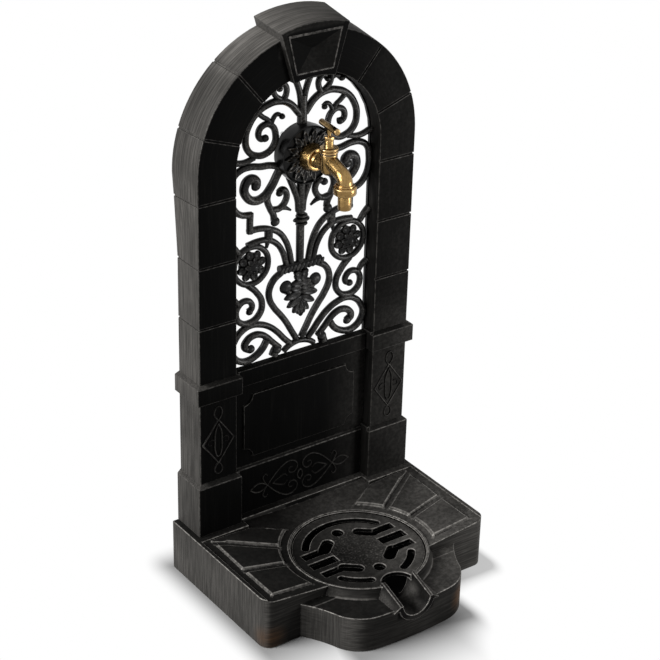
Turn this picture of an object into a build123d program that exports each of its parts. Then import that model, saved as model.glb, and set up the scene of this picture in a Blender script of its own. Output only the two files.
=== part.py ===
from build123d import *
import os
from math import cos, hypot, radians, sin, tan

os.makedirs("parts", exist_ok=True)

# Foot casting
base_half_width = 176.2
base_depth = 221.5
base_height = 73.0
base_corner_radius = 15.0
base_wall = 6.0
base_rim = 6.0
bulge_half_width = 123.0
bulge_shoulder = 97.5
bulge_nose = 56.0
bulge_reach = 77.7
bulge_nose_drop = 3.0
bulge_shoulder_reach = 45.0
bulge_cove_bend = (4.0, 2.5)
bulge_cheek_bend = (7.0, 3.0)
ring_seat_margin = 1.0
stone_back_gap = 3.0
stone_back_angle = 58.0
petal_height = 50.0
tray_floor_inner = 62.0
tray_floor_outer = 71.0
tray_slope_end = 175.0
stone_lift = 3.5
stone_root = 2.0
stone_edge_gap = 16.8
stone_joint_angles = (10.5, 32.5)
stone_joint_width = 5.5
stone_front_gap = 12.0

# Bowl, grate and spout in the foot
grate_centre_depth = 175.0
grate_radius = 87.0
grate_thickness = 6.0
grate_gap = 1.3
grate_drop = 1.5
bowl_radius = 80.0
bowl_wall = 5.0
bowl_fall = 1.5
ring_radius = 92.5
ring_skirt_radius = 99.0
ring_bead_width = 3.0
ring_bead_height = 1.7
stone_inner_radius = 102.0
spout_radius = 21.0
spout_wall = 7.5
spout_lip_width = 4.5
spout_flare = 15.0
spout_bottom = 34.0
spout_lip_height = 67.5
spout_overhang = 1.8

# Slots of the grate
arc_slot_radius = 69.0
arc_slot_width = 10.0
arc_slot_back_angle = 34.0
arc_slot_front_angle = 36.0
arc_slot_front_end_angle = 68.0
side_slot_inner = 35.0
side_slot_outer = 75.0
side_slot_width = 14.0
bent_slot_offset = 22.5
bent_slot_width = 12.5
bent_slot_outer = 72.0
bent_slot_elbow = 38.0
lobe_lap = 1.0
bent_slot_end = (25.0, 34.0)
bent_slot_lobe = 16.0
eye_offset = 46.5
eye_radius = 8.0

# Arched wall
wall_depth = 49.6
wall_skin = 5.0
arch_centre_height = 569.4
wall_inset = 13.4
pillar_width = 55.0
reveal_depth = 20.6
foot_plate = 8.0
plinth_top = 145.0
plinth_proud = 5.2
plinth_slope = 5.0
band_top = 292.4
band_height = 23.7
band_proud = 6.8
band_slope = 3.0
strip_proud = 9.5
key_half_angle = 16.7
key_rise = 7.8
key_fall = 2.3
key_proud = 7.1
key_border = 6.5
key_sink = 7.0
facet_margin = 3.0
facet_half_angle = 13.4
facet_point = (6.0, 1.0)
groove_width = 2.2
groove_depth = 1.4
joint_heights = (372.2, 454.8, 538.5)
joint_angles = (19.1, 49.8)

# Scroll grille
grille_ring_width = 14.0
grille_ring_thickness = 4.0
bar_front_depth = 33.5
bar_thickness = 7.0
bar_width = 8.0
drum_rear_radius = 39.5
drum_front_radius = 38.0
drum_face_depth = 46.5
drum_wall = 7.5
rosette_thickness = 3.0
rosette_gap = 0.3
rosette_seat_radius = 36.2
rosette_screw_circle = 33.5
rosette_screw_bite = 2.5
rosette_leaves = 12
leaf_proud = 1.6
leaf_outer_root = 19.5
leaf_outer_tip = 33.5
leaf_outer_half = 3.6
leaf_inner_root = 14.0
leaf_inner_tip = 22.0
leaf_inner_half = 2.2

# Apron below the grille
apron_face_depth = 34.0
apron_gap = 0.4
sill_depth = 42.0
block_depth = 38.0
plaque_half = 88.0
plaque_bottom = 157.0
plaque_top = 250.0
plaque_notch = 14.0
plaque_proud = 2.5
block_slope = 3.0

# Tap
tap_depth = 88.0
tap_body_radius = 10.9
tap_body_top = 17.0
tap_body_bottom = 8.5
body_dome = 2.0
seat_lip = 1.2
seat_lip_foot = 1.5
link_drop = 1.4
link_taper = 3.0
union_edge = 1.4
bonnet_groove = 1.2
tap_wall = 2.5
tail_seal = 1.5
soft_edge = 0.8
loose_gap = 0.3
piece_gap = 0.05
inlet_seal = 1.5
gland_nose = 1.5
jumper_bore = 1.48
washer_nut_radius = 2.8
washer_nut_height = 2.0
jumper_gap = 0.2
shank_collar_depth = 66.0
nozzle_root = 3.0
nozzle_rise = 8.0
bore_root = 11.7
bore_rise = 5.2
side_port_radius = 2.8
side_port_reach = 15.5
nozzle_fall = -3.5
shank_radius = 10.4
shank_bore = 4.0
shank_rear_depth = 20.5
thread_clearance = 0.05
seat_height = 7.0
seat_web = 3.0
seat_port_radius = 4.5
seat_ring = 1.0
bonnet_radius = 11.85
bonnet_flange = 7.0
bonnet_barrel_radius = 5.6
bonnet_barrel = 9.0
bonnet_skirt = 4.0
seal_thickness = 1.0
gland_radius = 6.4
gland_height = 5.0
packing_height = 3.5
packing_step = 0.2
spindle_thread_radius = 3.8
spindle_radius = 2.5
spindle_clearance = 0.08
handle_height = 51.0
handle_length = 42.0
handle_bar_radius = 4.1
handle_hub_radius = 3.6
handle_hub = 7.5
handle_rest_angle = 7.0
valve_lift_max = 5.7
valve_washer_radius = 6.5
valve_washer = 2.5
valve_seat_gap = 0.1
jumper_radius = 7.0
jumper_plate = 2.0
jumper_stem_radius = 1.4
jumper_stem = 8.0
outlet_depth = 123.0
outlet_drop = 12.5
nozzle_radius = 9.5
nozzle_bore = 5.5
nozzle_bend = 11.5
outlet_thread_radius = 11.2
outlet_thread = 5.5
union_radius = 14.4
union_lip = 3.0
tail_radius = 8.5
tail_neck_radius = 8.2
tail_bore = 6.5
tail_flange = 1.5
tail_length = 20.0
flange_radius = 18.0
flange_reach = 19.0
flange_rim = 3.0
flange_foot = 5.0
flange_foot_radius = 15.0
flange_nose_radius = 14.4
back_washer = 2.0
back_washer_radius = 16.5
back_nut_flats = 27.0
back_nut = 6.5
elbow_radius = 13.4
elbow_tail_radius = 8.0
elbow_tail_depth = 12.0
elbow_tail_drop = 41.0
elbow_tail_length = 20.0
elbow_collar_radius = 9.6
elbow_bore = 5.5
elbow_back_depth = 3.0

# Fasteners
bolt_radius = 4.0
bolt_head_flats = 13.0
bolt_head = 5.3
bolt_washer = 1.6
bolt_washer_radius = 8.0
bolt_hole_clearance = 0.5
bolt_inset = 15.0
screw_radius = 2.5
screw_head_radius = 4.5
screw_head = 3.0
screw_bite = 10.0
boss_radius = 5.5
boss_overlap = 2.5
screw_rise = 45.0
screw_upper = 450.0
screw_angles = (25, 65, 115, 155)
rosette_screw_angles = (45, 135, 225, 315)

# Places that follow from the sizes above
arch_outer_radius = base_half_width - wall_inset
opening_half = arch_outer_radius - pillar_width
key_outer_radius = arch_outer_radius + key_rise
key_inner_radius = opening_half - key_fall
band_bottom = band_top - band_height
total_depth = base_depth + bulge_reach + spout_overhang
back_y = total_depth / 2
base_front_y = back_y - base_depth
grate_y = back_y - grate_centre_depth
tap_y = back_y - tap_depth
outlet_y = back_y - outlet_depth
tap_z = arch_centre_height
spout_axis_z = spout_bottom + spout_radius
pillar_mid = (opening_half + arch_outer_radius) / 2
ring_outer_half = opening_half + grille_ring_width
screw_offset = opening_half + wall_skin + boss_radius - boss_overlap
ledge_height = tray_floor_inner - grate_drop - grate_thickness
bowl_floor = spout_bottom + bowl_fall
spindle_axis = Axis((0, tap_y, 0), (0, 0, 1))
outlet_axis = Axis((0, outlet_y, 0), (0, 0, 1))
shank_axis = Axis((0, 0, tap_z), (0, 1, 0))
grate_axis = Axis((0, grate_y, 0), (0, 0, 1))


def upright(depth):
    """Upright plane this far in front of the back; its normal points to the front."""
    return Plane.XZ.offset(depth - back_y)


def about_grate(radius, angle):
    """Plan point at a radius and angle round the centre of the grate."""
    return (radius * cos(radians(angle)), grate_y + radius * sin(radians(angle)))


def save(piece, name):
    """Labels a finished piece and writes its file."""
    piece.label = name
    export_step(piece, f"parts/{name}.step")


def band_outline(points, start_width, end_width):
    """Left and right edge points of a bar that tapers along its centre points."""
    count = len(points)
    left, right = [], []
    for i, (x, z) in enumerate(points):
        before = points[max(i - 1, 0)]
        after = points[min(i + 1, count - 1)]
        length = hypot(after[0] - before[0], after[1] - before[1])
        across = ((before[1] - after[1]) / length, (after[0] - before[0]) / length)
        half = (start_width + (end_width - start_width) * i / (count - 1)) / 2
        left.append((x + across[0] * half, z + across[1] * half))
        right.append((x - across[0] * half, z - across[1] * half))
    return left, right


# Plan outline of the bowl bulge in front of the foot
bulge_front_y = base_front_y - bulge_reach
bulge_nose_y = bulge_front_y + bulge_nose_drop
spout_front_y = bulge_front_y - spout_overhang
shoulder_y = base_front_y - bulge_shoulder_reach
cove_x = (bulge_half_width + bulge_shoulder) / 2 - bulge_cove_bend[0]
cove_y = (base_front_y + shoulder_y) / 2 - bulge_cove_bend[1]
cheek_x = (bulge_shoulder + bulge_nose) / 2 + bulge_cheek_bend[0]
cheek_y = (shoulder_y + bulge_nose_y) / 2 - bulge_cheek_bend[1]

with BuildSketch(Plane.XY) as block_plan:
    with Locations((0, back_y - base_depth / 2)):
        Rectangle(2 * base_half_width, base_depth)
    fillet(block_plan.vertices().group_by(Axis.Y)[0], base_corner_radius)

with BuildSketch(Plane.XY) as bulge_plan:
    with BuildLine():
        ThreePointArc((bulge_half_width, base_front_y), (cove_x, cove_y), (bulge_shoulder, shoulder_y))
        ThreePointArc((bulge_shoulder, shoulder_y), (cheek_x, cheek_y), (bulge_nose, bulge_nose_y))
        ThreePointArc((bulge_nose, bulge_nose_y), (0, bulge_front_y), (-bulge_nose, bulge_nose_y))
        ThreePointArc((-bulge_nose, bulge_nose_y), (-cheek_x, cheek_y), (-bulge_shoulder, shoulder_y))
        ThreePointArc((-bulge_shoulder, shoulder_y), (-cove_x, cove_y), (-bulge_half_width, base_front_y))
        Line((-bulge_half_width, base_front_y), (-bulge_half_width, grate_y))
        Line((-bulge_half_width, grate_y), (bulge_half_width, grate_y))
        Line((bulge_half_width, grate_y), (bulge_half_width, base_front_y))
    make_face()

# Space above the dished tray, inside the rim and in front of the wall
strip_y = back_y - wall_depth - plinth_proud - strip_proud
apron_strip_y = back_y - block_depth - strip_proud
tray_half = base_half_width - base_rim
stone_edge = base_half_width - stone_edge_gap
strip_step = opening_half - strip_proud
slope_reach = 3 * base_half_width

with BuildPart() as tray_space:
    with BuildSketch(Plane.XZ.offset(-grate_y)):
        with BuildLine():
            Polyline(
                (0, tray_floor_inner),
                (ring_radius + ring_seat_margin, tray_floor_inner),
                (tray_slope_end, tray_floor_outer),
                (slope_reach, tray_floor_outer),
                (slope_reach, 2 * base_height),
                (0, 2 * base_height),
                close=True,
            )
        make_face()
    revolve(axis=grate_axis)
    with BuildSketch(Plane.XY):
        with BuildLine():
            Polyline(
                (-strip_step, apron_strip_y),
                (strip_step, apron_strip_y),
                (strip_step, strip_y),
                (tray_half, strip_y),
                (tray_half, base_front_y - base_rim),
                (-tray_half, base_front_y - base_rim),
                (-tray_half, strip_y),
                (-strip_step, strip_y),
                close=True,
            )
        make_face()
    extrude(amount=2 * base_height, mode=Mode.INTERSECT)

# Wedge stones that stand proud of the dished tray, three on each side
stone_front_y = base_front_y + stone_front_gap
stone_back_y = strip_y - stone_back_gap
stone_tip = about_grate(stone_inner_radius, stone_back_angle)

with BuildPart() as stones:
    with BuildSketch(Plane.XY):
        with Locations((0, stone_front_y)):
            Rectangle(stone_edge, stone_back_y - stone_front_y, align=(Align.MIN, Align.MIN))
        with Locations((0, grate_y)):
            Circle(stone_inner_radius, mode=Mode.SUBTRACT)
            for angle in stone_joint_angles:
                Rectangle(
                    slope_reach,
                    stone_joint_width,
                    rotation=angle,
                    align=(Align.MIN, Align.CENTER),
                    mode=Mode.SUBTRACT,
                )
        Polygon(
            (0, stone_tip[1]),
            stone_tip,
            (strip_step, stone_back_y),
            (strip_step, back_y),
            (0, back_y),
            align=None,
            mode=Mode.SUBTRACT,
        )
        mirror(about=Plane.YZ)
    extrude(amount=2 * base_height)
    with BuildSketch(Plane.XZ.offset(-grate_y)):
        with BuildLine():
            Polyline(
                (0, tray_floor_inner - stone_root),
                (slope_reach, tray_floor_inner - stone_root),
                (slope_reach, base_height),
                (tray_slope_end - stone_lift, base_height),
                (ring_radius, tray_floor_inner + stone_lift),
                (0, tray_floor_inner + stone_lift),
                close=True,
            )
        make_face()
    revolve(axis=grate_axis, mode=Mode.INTERSECT)

# Foot casting: hollow below, dished on top, with a bowl and a half-pipe spout
bolt_places = [
    (side * (pillar_mid + shift), back_y - wall_depth / 2)
    for side in (-1, 1)
    for shift in (-bolt_inset, bolt_inset)
]
strip_ceiling = base_height - base_wall
tray_ceiling = tray_floor_inner - base_wall
petal_ceiling = petal_height - base_wall
strip_hollow_width = base_half_width - base_wall - strip_step - base_wall
strip_hollow_x = base_half_width - base_wall - strip_hollow_width / 2
strip_hollow_depth = back_y - strip_y - 2 * base_wall
strip_hollow_y = (back_y + strip_y) / 2

with BuildPart() as base_basin:
    add(block_plan.sketch)
    extrude(amount=base_height)
    add(bulge_plan.sketch)
    extrude(amount=petal_height)
    add(tray_space.part, mode=Mode.SUBTRACT)
    add(stones.part)
    with BuildSketch(Plane.XY):
        with Locations((0, (base_front_y + back_y) / 2)):
            Rectangle(2 * (base_half_width - base_wall), back_y - base_front_y - 2 * base_wall)
    extrude(amount=tray_ceiling, mode=Mode.SUBTRACT)
    with BuildSketch(Plane.XY):
        add(bulge_plan.sketch)
        offset(amount=-base_wall, mode=Mode.REPLACE)
    extrude(amount=petal_ceiling, mode=Mode.SUBTRACT)
    with BuildSketch(Plane.XY.offset(tray_ceiling)):
        with Locations((-strip_hollow_x, strip_hollow_y), (strip_hollow_x, strip_hollow_y)):
            Rectangle(strip_hollow_width, strip_hollow_depth)
    extrude(amount=strip_ceiling - tray_ceiling, mode=Mode.SUBTRACT)
    with BuildSketch(Plane.XY.offset(bowl_floor - bowl_wall)):
        with Locations((0, grate_y)):
            Circle(ring_radius)
    extrude(amount=tray_floor_inner - bowl_floor + bowl_wall)
    with Locations((0, grate_y, petal_height - base_wall / 2)):
        Cone(
            ring_skirt_radius,
            ring_radius,
            tray_floor_inner - petal_height + base_wall / 2,
            align=(Align.CENTER, Align.CENTER, Align.MIN),
        )
    with BuildSketch(Plane.XY.offset(tray_floor_inner - stone_root)):
        with Locations((0, grate_y)):
            Circle(ring_radius)
            Circle(ring_radius - ring_bead_width, mode=Mode.SUBTRACT)
    extrude(amount=stone_root + ring_bead_height)
    with BuildSketch(Plane.XZ.offset(-spout_front_y)):
        with Locations((0, spout_axis_z)):
            Circle(spout_radius + spout_wall)
            Rectangle(4 * spout_radius, 4 * spout_radius, align=(Align.CENTER, Align.MIN), mode=Mode.SUBTRACT)
            Polygon(
                (-spout_radius - spout_lip_width, spout_lip_height - spout_axis_z),
                (spout_radius + spout_lip_width, spout_lip_height - spout_axis_z),
                (spout_radius + spout_flare, petal_height - base_wall / 2 - spout_axis_z),
                (-spout_radius - spout_flare, petal_height - base_wall / 2 - spout_axis_z),
                align=None,
            )
    extrude(amount=spout_front_y - grate_y + bowl_radius)
    with BuildSketch(Plane.XY.offset(bowl_floor)):
        with Locations((0, grate_y)):
            Circle(bowl_radius)
    extrude(amount=base_height, mode=Mode.SUBTRACT)
    with BuildSketch(Plane.XY.offset(ledge_height)):
        with Locations((0, grate_y)):
            Circle(grate_radius + grate_gap)
    extrude(amount=base_height, mode=Mode.SUBTRACT)
    with BuildSketch(Plane.XZ.offset(-grate_y)):
        with Locations((0, spout_axis_z)):
            Circle(spout_radius)
            Rectangle(2 * spout_radius, base_height, align=(Align.CENTER, Align.MIN))
    extrude(amount=total_depth, mode=Mode.SUBTRACT)
    with Locations(*[(x, y, strip_ceiling) for x, y in bolt_places]):
        Cylinder(
            bolt_radius + bolt_hole_clearance,
            2 * base_wall,
            align=(Align.CENTER, Align.CENTER, Align.MIN),
            mode=Mode.SUBTRACT,
        )
save(base_basin.part, "base_basin")

# Round grate with a spout notch, arc slots, bent slots and two drain eyes
grate_notch_depth = grate_centre_depth + grate_radius
grate_base = ledge_height


def straight_slot(start, end, width):
    """Adds a straight-sided slot between two plan points to the current sketch."""
    length = hypot(end[0] - start[0], end[1] - start[1])
    across = ((start[1] - end[1]) / length * width / 2, (end[0] - start[0]) / length * width / 2)
    Polygon(
        (start[0] + across[0], start[1] + across[1]),
        (end[0] + across[0], end[1] + across[1]),
        (end[0] - across[0], end[1] - across[1]),
        (start[0] - across[0], start[1] - across[1]),
        align=None,
    )


with BuildSketch(Plane.XY.offset(grate_base)) as grate_slots:
    with Locations((0, grate_y)):
        SlotArc(
            CenterArc((0, 0), arc_slot_radius, arc_slot_back_angle, 180 - 2 * arc_slot_back_angle),
            arc_slot_width,
        )
        for mirror_side in (0, 1):
            start = -arc_slot_front_angle if mirror_side else 180 + arc_slot_front_angle
            turn = arc_slot_front_angle - arc_slot_front_end_angle if mirror_side else 0
            turn = turn if mirror_side else arc_slot_front_end_angle - arc_slot_front_angle
            SlotArc(CenterArc((0, 0), arc_slot_radius, start, turn), arc_slot_width)
    with Locations((0, grate_y + eye_offset), (0, grate_y - eye_offset)):
        Circle(eye_radius)
    for side in (-1, 1):
        straight_slot((side * side_slot_inner, grate_y), (side * side_slot_outer, grate_y), side_slot_width)
        for end in (-1, 1):
            row_y = grate_y + end * bent_slot_offset
            lobe = (side * bent_slot_end[0], grate_y + end * bent_slot_end[1])
            straight_slot((side * bent_slot_elbow, row_y), (side * bent_slot_outer, row_y), bent_slot_width)
            straight_slot((side * (bent_slot_elbow + lobe_lap), row_y), lobe, bent_slot_lobe)
            with Locations(lobe, (side * (bent_slot_elbow + lobe_lap), row_y)):
                Circle(bent_slot_lobe / 2)

with BuildPart() as grate:
    with BuildSketch(Plane.XY.offset(grate_base)):
        with Locations((0, grate_y)):
            Circle(grate_radius)
        with Locations((0, back_y - grate_notch_depth)):
            Circle(spout_radius + grate_gap, mode=Mode.SUBTRACT)
        add(grate_slots.sketch, mode=Mode.SUBTRACT)
    extrude(amount=grate_thickness)
save(grate.part, "grate")

# Bolts and washers that hold the wall on the foot from below
bolt_bearing = strip_ceiling - bolt_washer

with BuildPart() as wall_bolt_washers:
    with BuildSketch(Plane.XY.offset(bolt_bearing)):
        with Locations(*bolt_places):
            Circle(bolt_washer_radius)
            Circle(bolt_radius + bolt_hole_clearance, mode=Mode.SUBTRACT)
    extrude(amount=bolt_washer)
save(wall_bolt_washers.part, "wall_bolt_washers")

with BuildPart() as wall_bolts:
    with BuildSketch(Plane.XY.offset(bolt_bearing)):
        with Locations(*bolt_places):
            RegularPolygon(bolt_head_flats / 2, 6, major_radius=False)
    extrude(amount=-bolt_head)
    with BuildSketch(Plane.XY.offset(bolt_bearing)):
        with Locations(*bolt_places):
            Circle(bolt_radius)
    extrude(amount=base_height + foot_plate - bolt_bearing)
save(wall_bolts.part, "wall_bolts")

# Front outlines of the arched wall
leg_height = arch_centre_height - base_height


def arch_profile(half):
    """Adds a round-headed outline of this half width, standing on the foot, to the current sketch."""
    with Locations((0, base_height)):
        Rectangle(2 * half, leg_height, align=(Align.CENTER, Align.MIN))
    with Locations((0, arch_centre_height)):
        Circle(half)


def screw_places():
    """Front-view places of the grille screws: up both legs and round the arch."""
    heights = (band_top + screw_rise, screw_upper)
    legs = [(side * screw_offset, height) for side in (-1, 1) for height in heights]
    arch = [
        (screw_offset * cos(radians(angle)), arch_centre_height + screw_offset * sin(radians(angle)))
        for angle in screw_angles
    ]
    return legs + arch


def apron_screw_places():
    """Front-view places of the apron screws at both edges."""
    heights = (base_height + screw_rise, band_bottom - screw_rise)
    return [(side * screw_offset, height) for side in (-1, 1) for height in heights]


def at_front(place, depth):
    """Point of a front-view place at a depth in front of the back."""
    return (place[0], back_y - depth, place[1])


reveal_back = wall_depth - reveal_depth
return_depth = apron_face_depth + apron_gap


def key_point(radius, angle):
    """Front-view point of the keystone at a radius and an angle from upright."""
    return (radius * sin(radians(angle)), arch_centre_height + radius * cos(radians(angle)))


with BuildPart() as wall_frame:
    with BuildSketch(upright(0)):
        arch_profile(arch_outer_radius)
    extrude(amount=wall_depth)
    with BuildSketch(upright(0)):
        with BuildLine():
            ThreePointArc(
                key_point(key_outer_radius, -key_half_angle),
                key_point(key_outer_radius, 0),
                key_point(key_outer_radius, key_half_angle),
            )
            Line(key_point(key_outer_radius, key_half_angle), key_point(key_inner_radius, key_half_angle))
            ThreePointArc(
                key_point(key_inner_radius, key_half_angle),
                key_point(key_inner_radius, 0),
                key_point(key_inner_radius, -key_half_angle),
            )
            Line(key_point(key_inner_radius, -key_half_angle), key_point(key_outer_radius, -key_half_angle))
        make_face()
    extrude(amount=wall_depth + key_proud)
    for side in (-1, 1):
        with BuildSketch(Plane.XY.offset(base_height)):
            with Locations((side * pillar_mid, back_y)):
                Rectangle(
                    arch_outer_radius - opening_half + 2 * plinth_proud,
                    wall_depth + plinth_proud,
                    align=(Align.CENTER, Align.MAX),
                )
        extrude(amount=plinth_top - base_height)
        with BuildSketch(Plane.XY.offset(plinth_top)):
            with Locations((side * pillar_mid, back_y)):
                Rectangle(
                    arch_outer_radius - opening_half + 2 * plinth_proud,
                    wall_depth + plinth_proud,
                    align=(Align.CENTER, Align.MAX),
                )
        with BuildSketch(Plane.XY.offset(plinth_top + plinth_slope)):
            with Locations((side * pillar_mid, back_y)):
                Rectangle(arch_outer_radius - opening_half, wall_depth, align=(Align.CENTER, Align.MAX))
        loft()
        with BuildSketch(Plane.XY.offset(band_bottom)):
            with Locations((side * pillar_mid, back_y)):
                Rectangle(
                    arch_outer_radius - opening_half + 2 * band_proud,
                    wall_depth + band_proud,
                    align=(Align.CENTER, Align.MAX),
                )
        extrude(amount=band_top - band_bottom)
        with BuildSketch(Plane.XY.offset(band_top)):
            with Locations((side * pillar_mid, back_y)):
                Rectangle(
                    arch_outer_radius - opening_half + 2 * band_proud,
                    wall_depth + band_proud,
                    align=(Align.CENTER, Align.MAX),
                )
        with BuildSketch(Plane.XY.offset(band_top + band_slope)):
            with Locations((side * pillar_mid, back_y)):
                Rectangle(arch_outer_radius - opening_half, wall_depth, align=(Align.CENTER, Align.MAX))
        loft()
    # Opening between the pillars, full depth up to the front returns of bands and plinths
    with BuildSketch(upright(-1)):
        arch_profile(opening_half)
    extrude(amount=return_depth + 1, mode=Mode.SUBTRACT)
    with BuildSketch(upright(0)):
        with Locations((0, base_height)):
            Rectangle(
                2 * (opening_half - plinth_proud), leg_height, align=(Align.CENTER, Align.MIN)
            )
    extrude(amount=wall_depth + 2 * band_proud, mode=Mode.SUBTRACT)
    with BuildSketch(upright(0)):
        with Locations((0, plinth_top + plinth_slope)):
            Rectangle(
                2 * opening_half, band_bottom - plinth_top - plinth_slope, align=(Align.CENTER, Align.MIN)
            )
        with Locations((0, band_top + band_slope)):
            Rectangle(
                2 * opening_half,
                arch_centre_height - band_top - band_slope,
                align=(Align.CENTER, Align.MIN),
            )
        with Locations((0, arch_centre_height)):
            Circle(opening_half)
        with BuildLine():
            Polyline(
                key_point(key_inner_radius, -key_half_angle),
                key_point(key_outer_radius, -key_half_angle),
                key_point(key_outer_radius, key_half_angle),
                key_point(key_inner_radius, key_half_angle),
                close=True,
            )
        make_face(mode=Mode.SUBTRACT)
    extrude(amount=wall_depth + 2 * band_proud, mode=Mode.SUBTRACT)
    # Hollow of the shell, open at the back, and the short reveal round the opening
    with BuildSketch(upright(0)):
        arch_profile(arch_outer_radius - wall_skin)
        arch_profile(opening_half + wall_skin)
        with Locations((0, base_height)):
            Rectangle(
                2 * arch_outer_radius, foot_plate, align=(Align.CENTER, Align.MIN), mode=Mode.SUBTRACT
            )
    extrude(amount=reveal_back, mode=Mode.SUBTRACT)
    with BuildSketch(upright(reveal_back)):
        arch_profile(arch_outer_radius - wall_skin)
        with Locations((0, base_height)):
            Rectangle(
                2 * (opening_half + wall_skin),
                leg_height,
                align=(Align.CENTER, Align.MIN),
                mode=Mode.SUBTRACT,
            )
            Rectangle(
                2 * arch_outer_radius, foot_plate, align=(Align.CENTER, Align.MIN), mode=Mode.SUBTRACT
            )
        with Locations((0, arch_centre_height)):
            Circle(opening_half + wall_skin, mode=Mode.SUBTRACT)
    extrude(amount=wall_depth - wall_skin - reveal_back, mode=Mode.SUBTRACT)
    # Screw bosses behind the front skin, bored for the grille and apron screws
    with BuildSketch(upright(reveal_back)):
        with Locations(*screw_places(), *apron_screw_places()):
            Circle(boss_radius)
    extrude(amount=wall_depth - wall_skin / 2 - reveal_back)
    with BuildSketch(upright(reveal_back)):
        with Locations(*screw_places(), *apron_screw_places()):
            Circle(screw_radius + thread_clearance)
    extrude(amount=screw_bite + 1, mode=Mode.SUBTRACT)
    # Tapped holes in the foot plates
    with Locations(*[(x, y, base_height) for x, y in bolt_places]):
        Cylinder(
            bolt_radius + thread_clearance,
            foot_plate + 1,
            align=(Align.CENTER, Align.CENTER, Align.MIN),
            mode=Mode.SUBTRACT,
        )
    # Stone joints cut over the front face and the outer side
    for side in (-1, 1):
        for height in joint_heights:
            with Locations((side * arch_outer_radius, back_y - wall_depth / 2, height)):
                Box(2 * groove_depth, 2 * wall_depth, groove_width, mode=Mode.SUBTRACT)
            with Locations((side * pillar_mid, back_y - wall_depth, height)):
                Box(
                    arch_outer_radius - opening_half + 1,
                    2 * groove_depth,
                    groove_width,
                    mode=Mode.SUBTRACT,
                )
        for angle in joint_angles:
            middle = (opening_half + arch_outer_radius) / 2
            turn = -angle if side > 0 else angle - 180
            across = radians(-turn)
            with Locations(
                Location(
                    (middle * cos(across), back_y - wall_depth, tap_z + middle * sin(across)), (0, turn, 0)
                )
            ):
                Box(
                    arch_outer_radius - opening_half + 1,
                    2 * groove_depth,
                    groove_width,
                    mode=Mode.SUBTRACT,
                )
            with Locations(
                Location(
                    (
                        arch_outer_radius * cos(across),
                        back_y - wall_depth / 2,
                        tap_z + arch_outer_radius * sin(across),
                    ),
                    (0, turn, 0),
                )
            ):
                Box(2 * groove_depth, 2 * wall_depth, groove_width, mode=Mode.SUBTRACT)
    # Sunken four-sided facet in the keystone's face
    facet_inner = key_inner_radius + key_border + facet_margin
    facet_outer = key_outer_radius - key_border
    facet_angle = facet_half_angle
    with BuildSketch(upright(wall_depth + key_proud)):
        with BuildLine():
            Polyline(
                key_point(facet_inner, -facet_angle),
                key_point(facet_outer, -facet_angle),
                key_point(facet_outer, facet_angle),
                key_point(facet_inner, facet_angle),
                close=True,
            )
        make_face()
    with BuildSketch(upright(wall_depth + key_proud - key_sink)):
        with Locations((0, arch_centre_height + (facet_inner + facet_outer) / 2)):
            Rectangle(*facet_point)
    loft(mode=Mode.SUBTRACT)
save(wall_frame.part, "wall_frame")

# Apron panel with sill, bare plaque and the block that carries the ornament
apron_half = opening_half - apron_gap
block_top = plinth_top

with BuildPart() as apron_panel:
    with BuildSketch(upright(reveal_back)):
        with Locations((0, base_height + apron_gap / 2)):
            Rectangle(
                2 * apron_half, band_top - base_height - apron_gap / 2, align=(Align.CENTER, Align.MIN)
            )
    extrude(amount=apron_face_depth - reveal_back)
    with BuildSketch(upright(apron_face_depth)):
        with Locations((0, band_bottom)):
            Rectangle(
                2 * (opening_half - band_proud - apron_gap),
                band_top - band_bottom,
                align=(Align.CENTER, Align.MIN),
            )
    extrude(amount=sill_depth - apron_face_depth)
    with BuildSketch(upright(apron_face_depth)):
        with Locations((0, base_height + apron_gap / 2)):
            Rectangle(
                2 * (opening_half - plinth_proud - apron_gap),
                block_top - base_height,
                align=(Align.CENTER, Align.MIN),
            )
    extrude(amount=block_depth - apron_face_depth)
    block_edge = (
        apron_panel.edges().filter_by(Axis.X).group_by(Axis.Y)[1].sort_by(Axis.Z)[-1]
    )
    chamfer(block_edge, block_slope)
    with BuildSketch(upright(apron_face_depth)):
        with Locations((0, (plaque_bottom + plaque_top) / 2)):
            Rectangle(2 * plaque_half, plaque_top - plaque_bottom)
        with Locations(
            (plaque_half, plaque_bottom),
            (-plaque_half, plaque_bottom),
            (plaque_half, plaque_top),
            (-plaque_half, plaque_top),
        ):
            Circle(plaque_notch, mode=Mode.SUBTRACT)
    extrude(amount=plaque_proud)
    with BuildSketch(upright(reveal_back)):
        with Locations((0, base_height + foot_plate + apron_gap)):
            Rectangle(
                2 * ring_outer_half,
                band_bottom - base_height - foot_plate - apron_gap,
                align=(Align.CENTER, Align.MIN),
            )
        with Locations(*apron_screw_places()):
            Circle(screw_radius + bolt_hole_clearance, mode=Mode.SUBTRACT)
    extrude(amount=-grille_ring_thickness)
save(apron_panel.part, "apron_panel")

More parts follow.
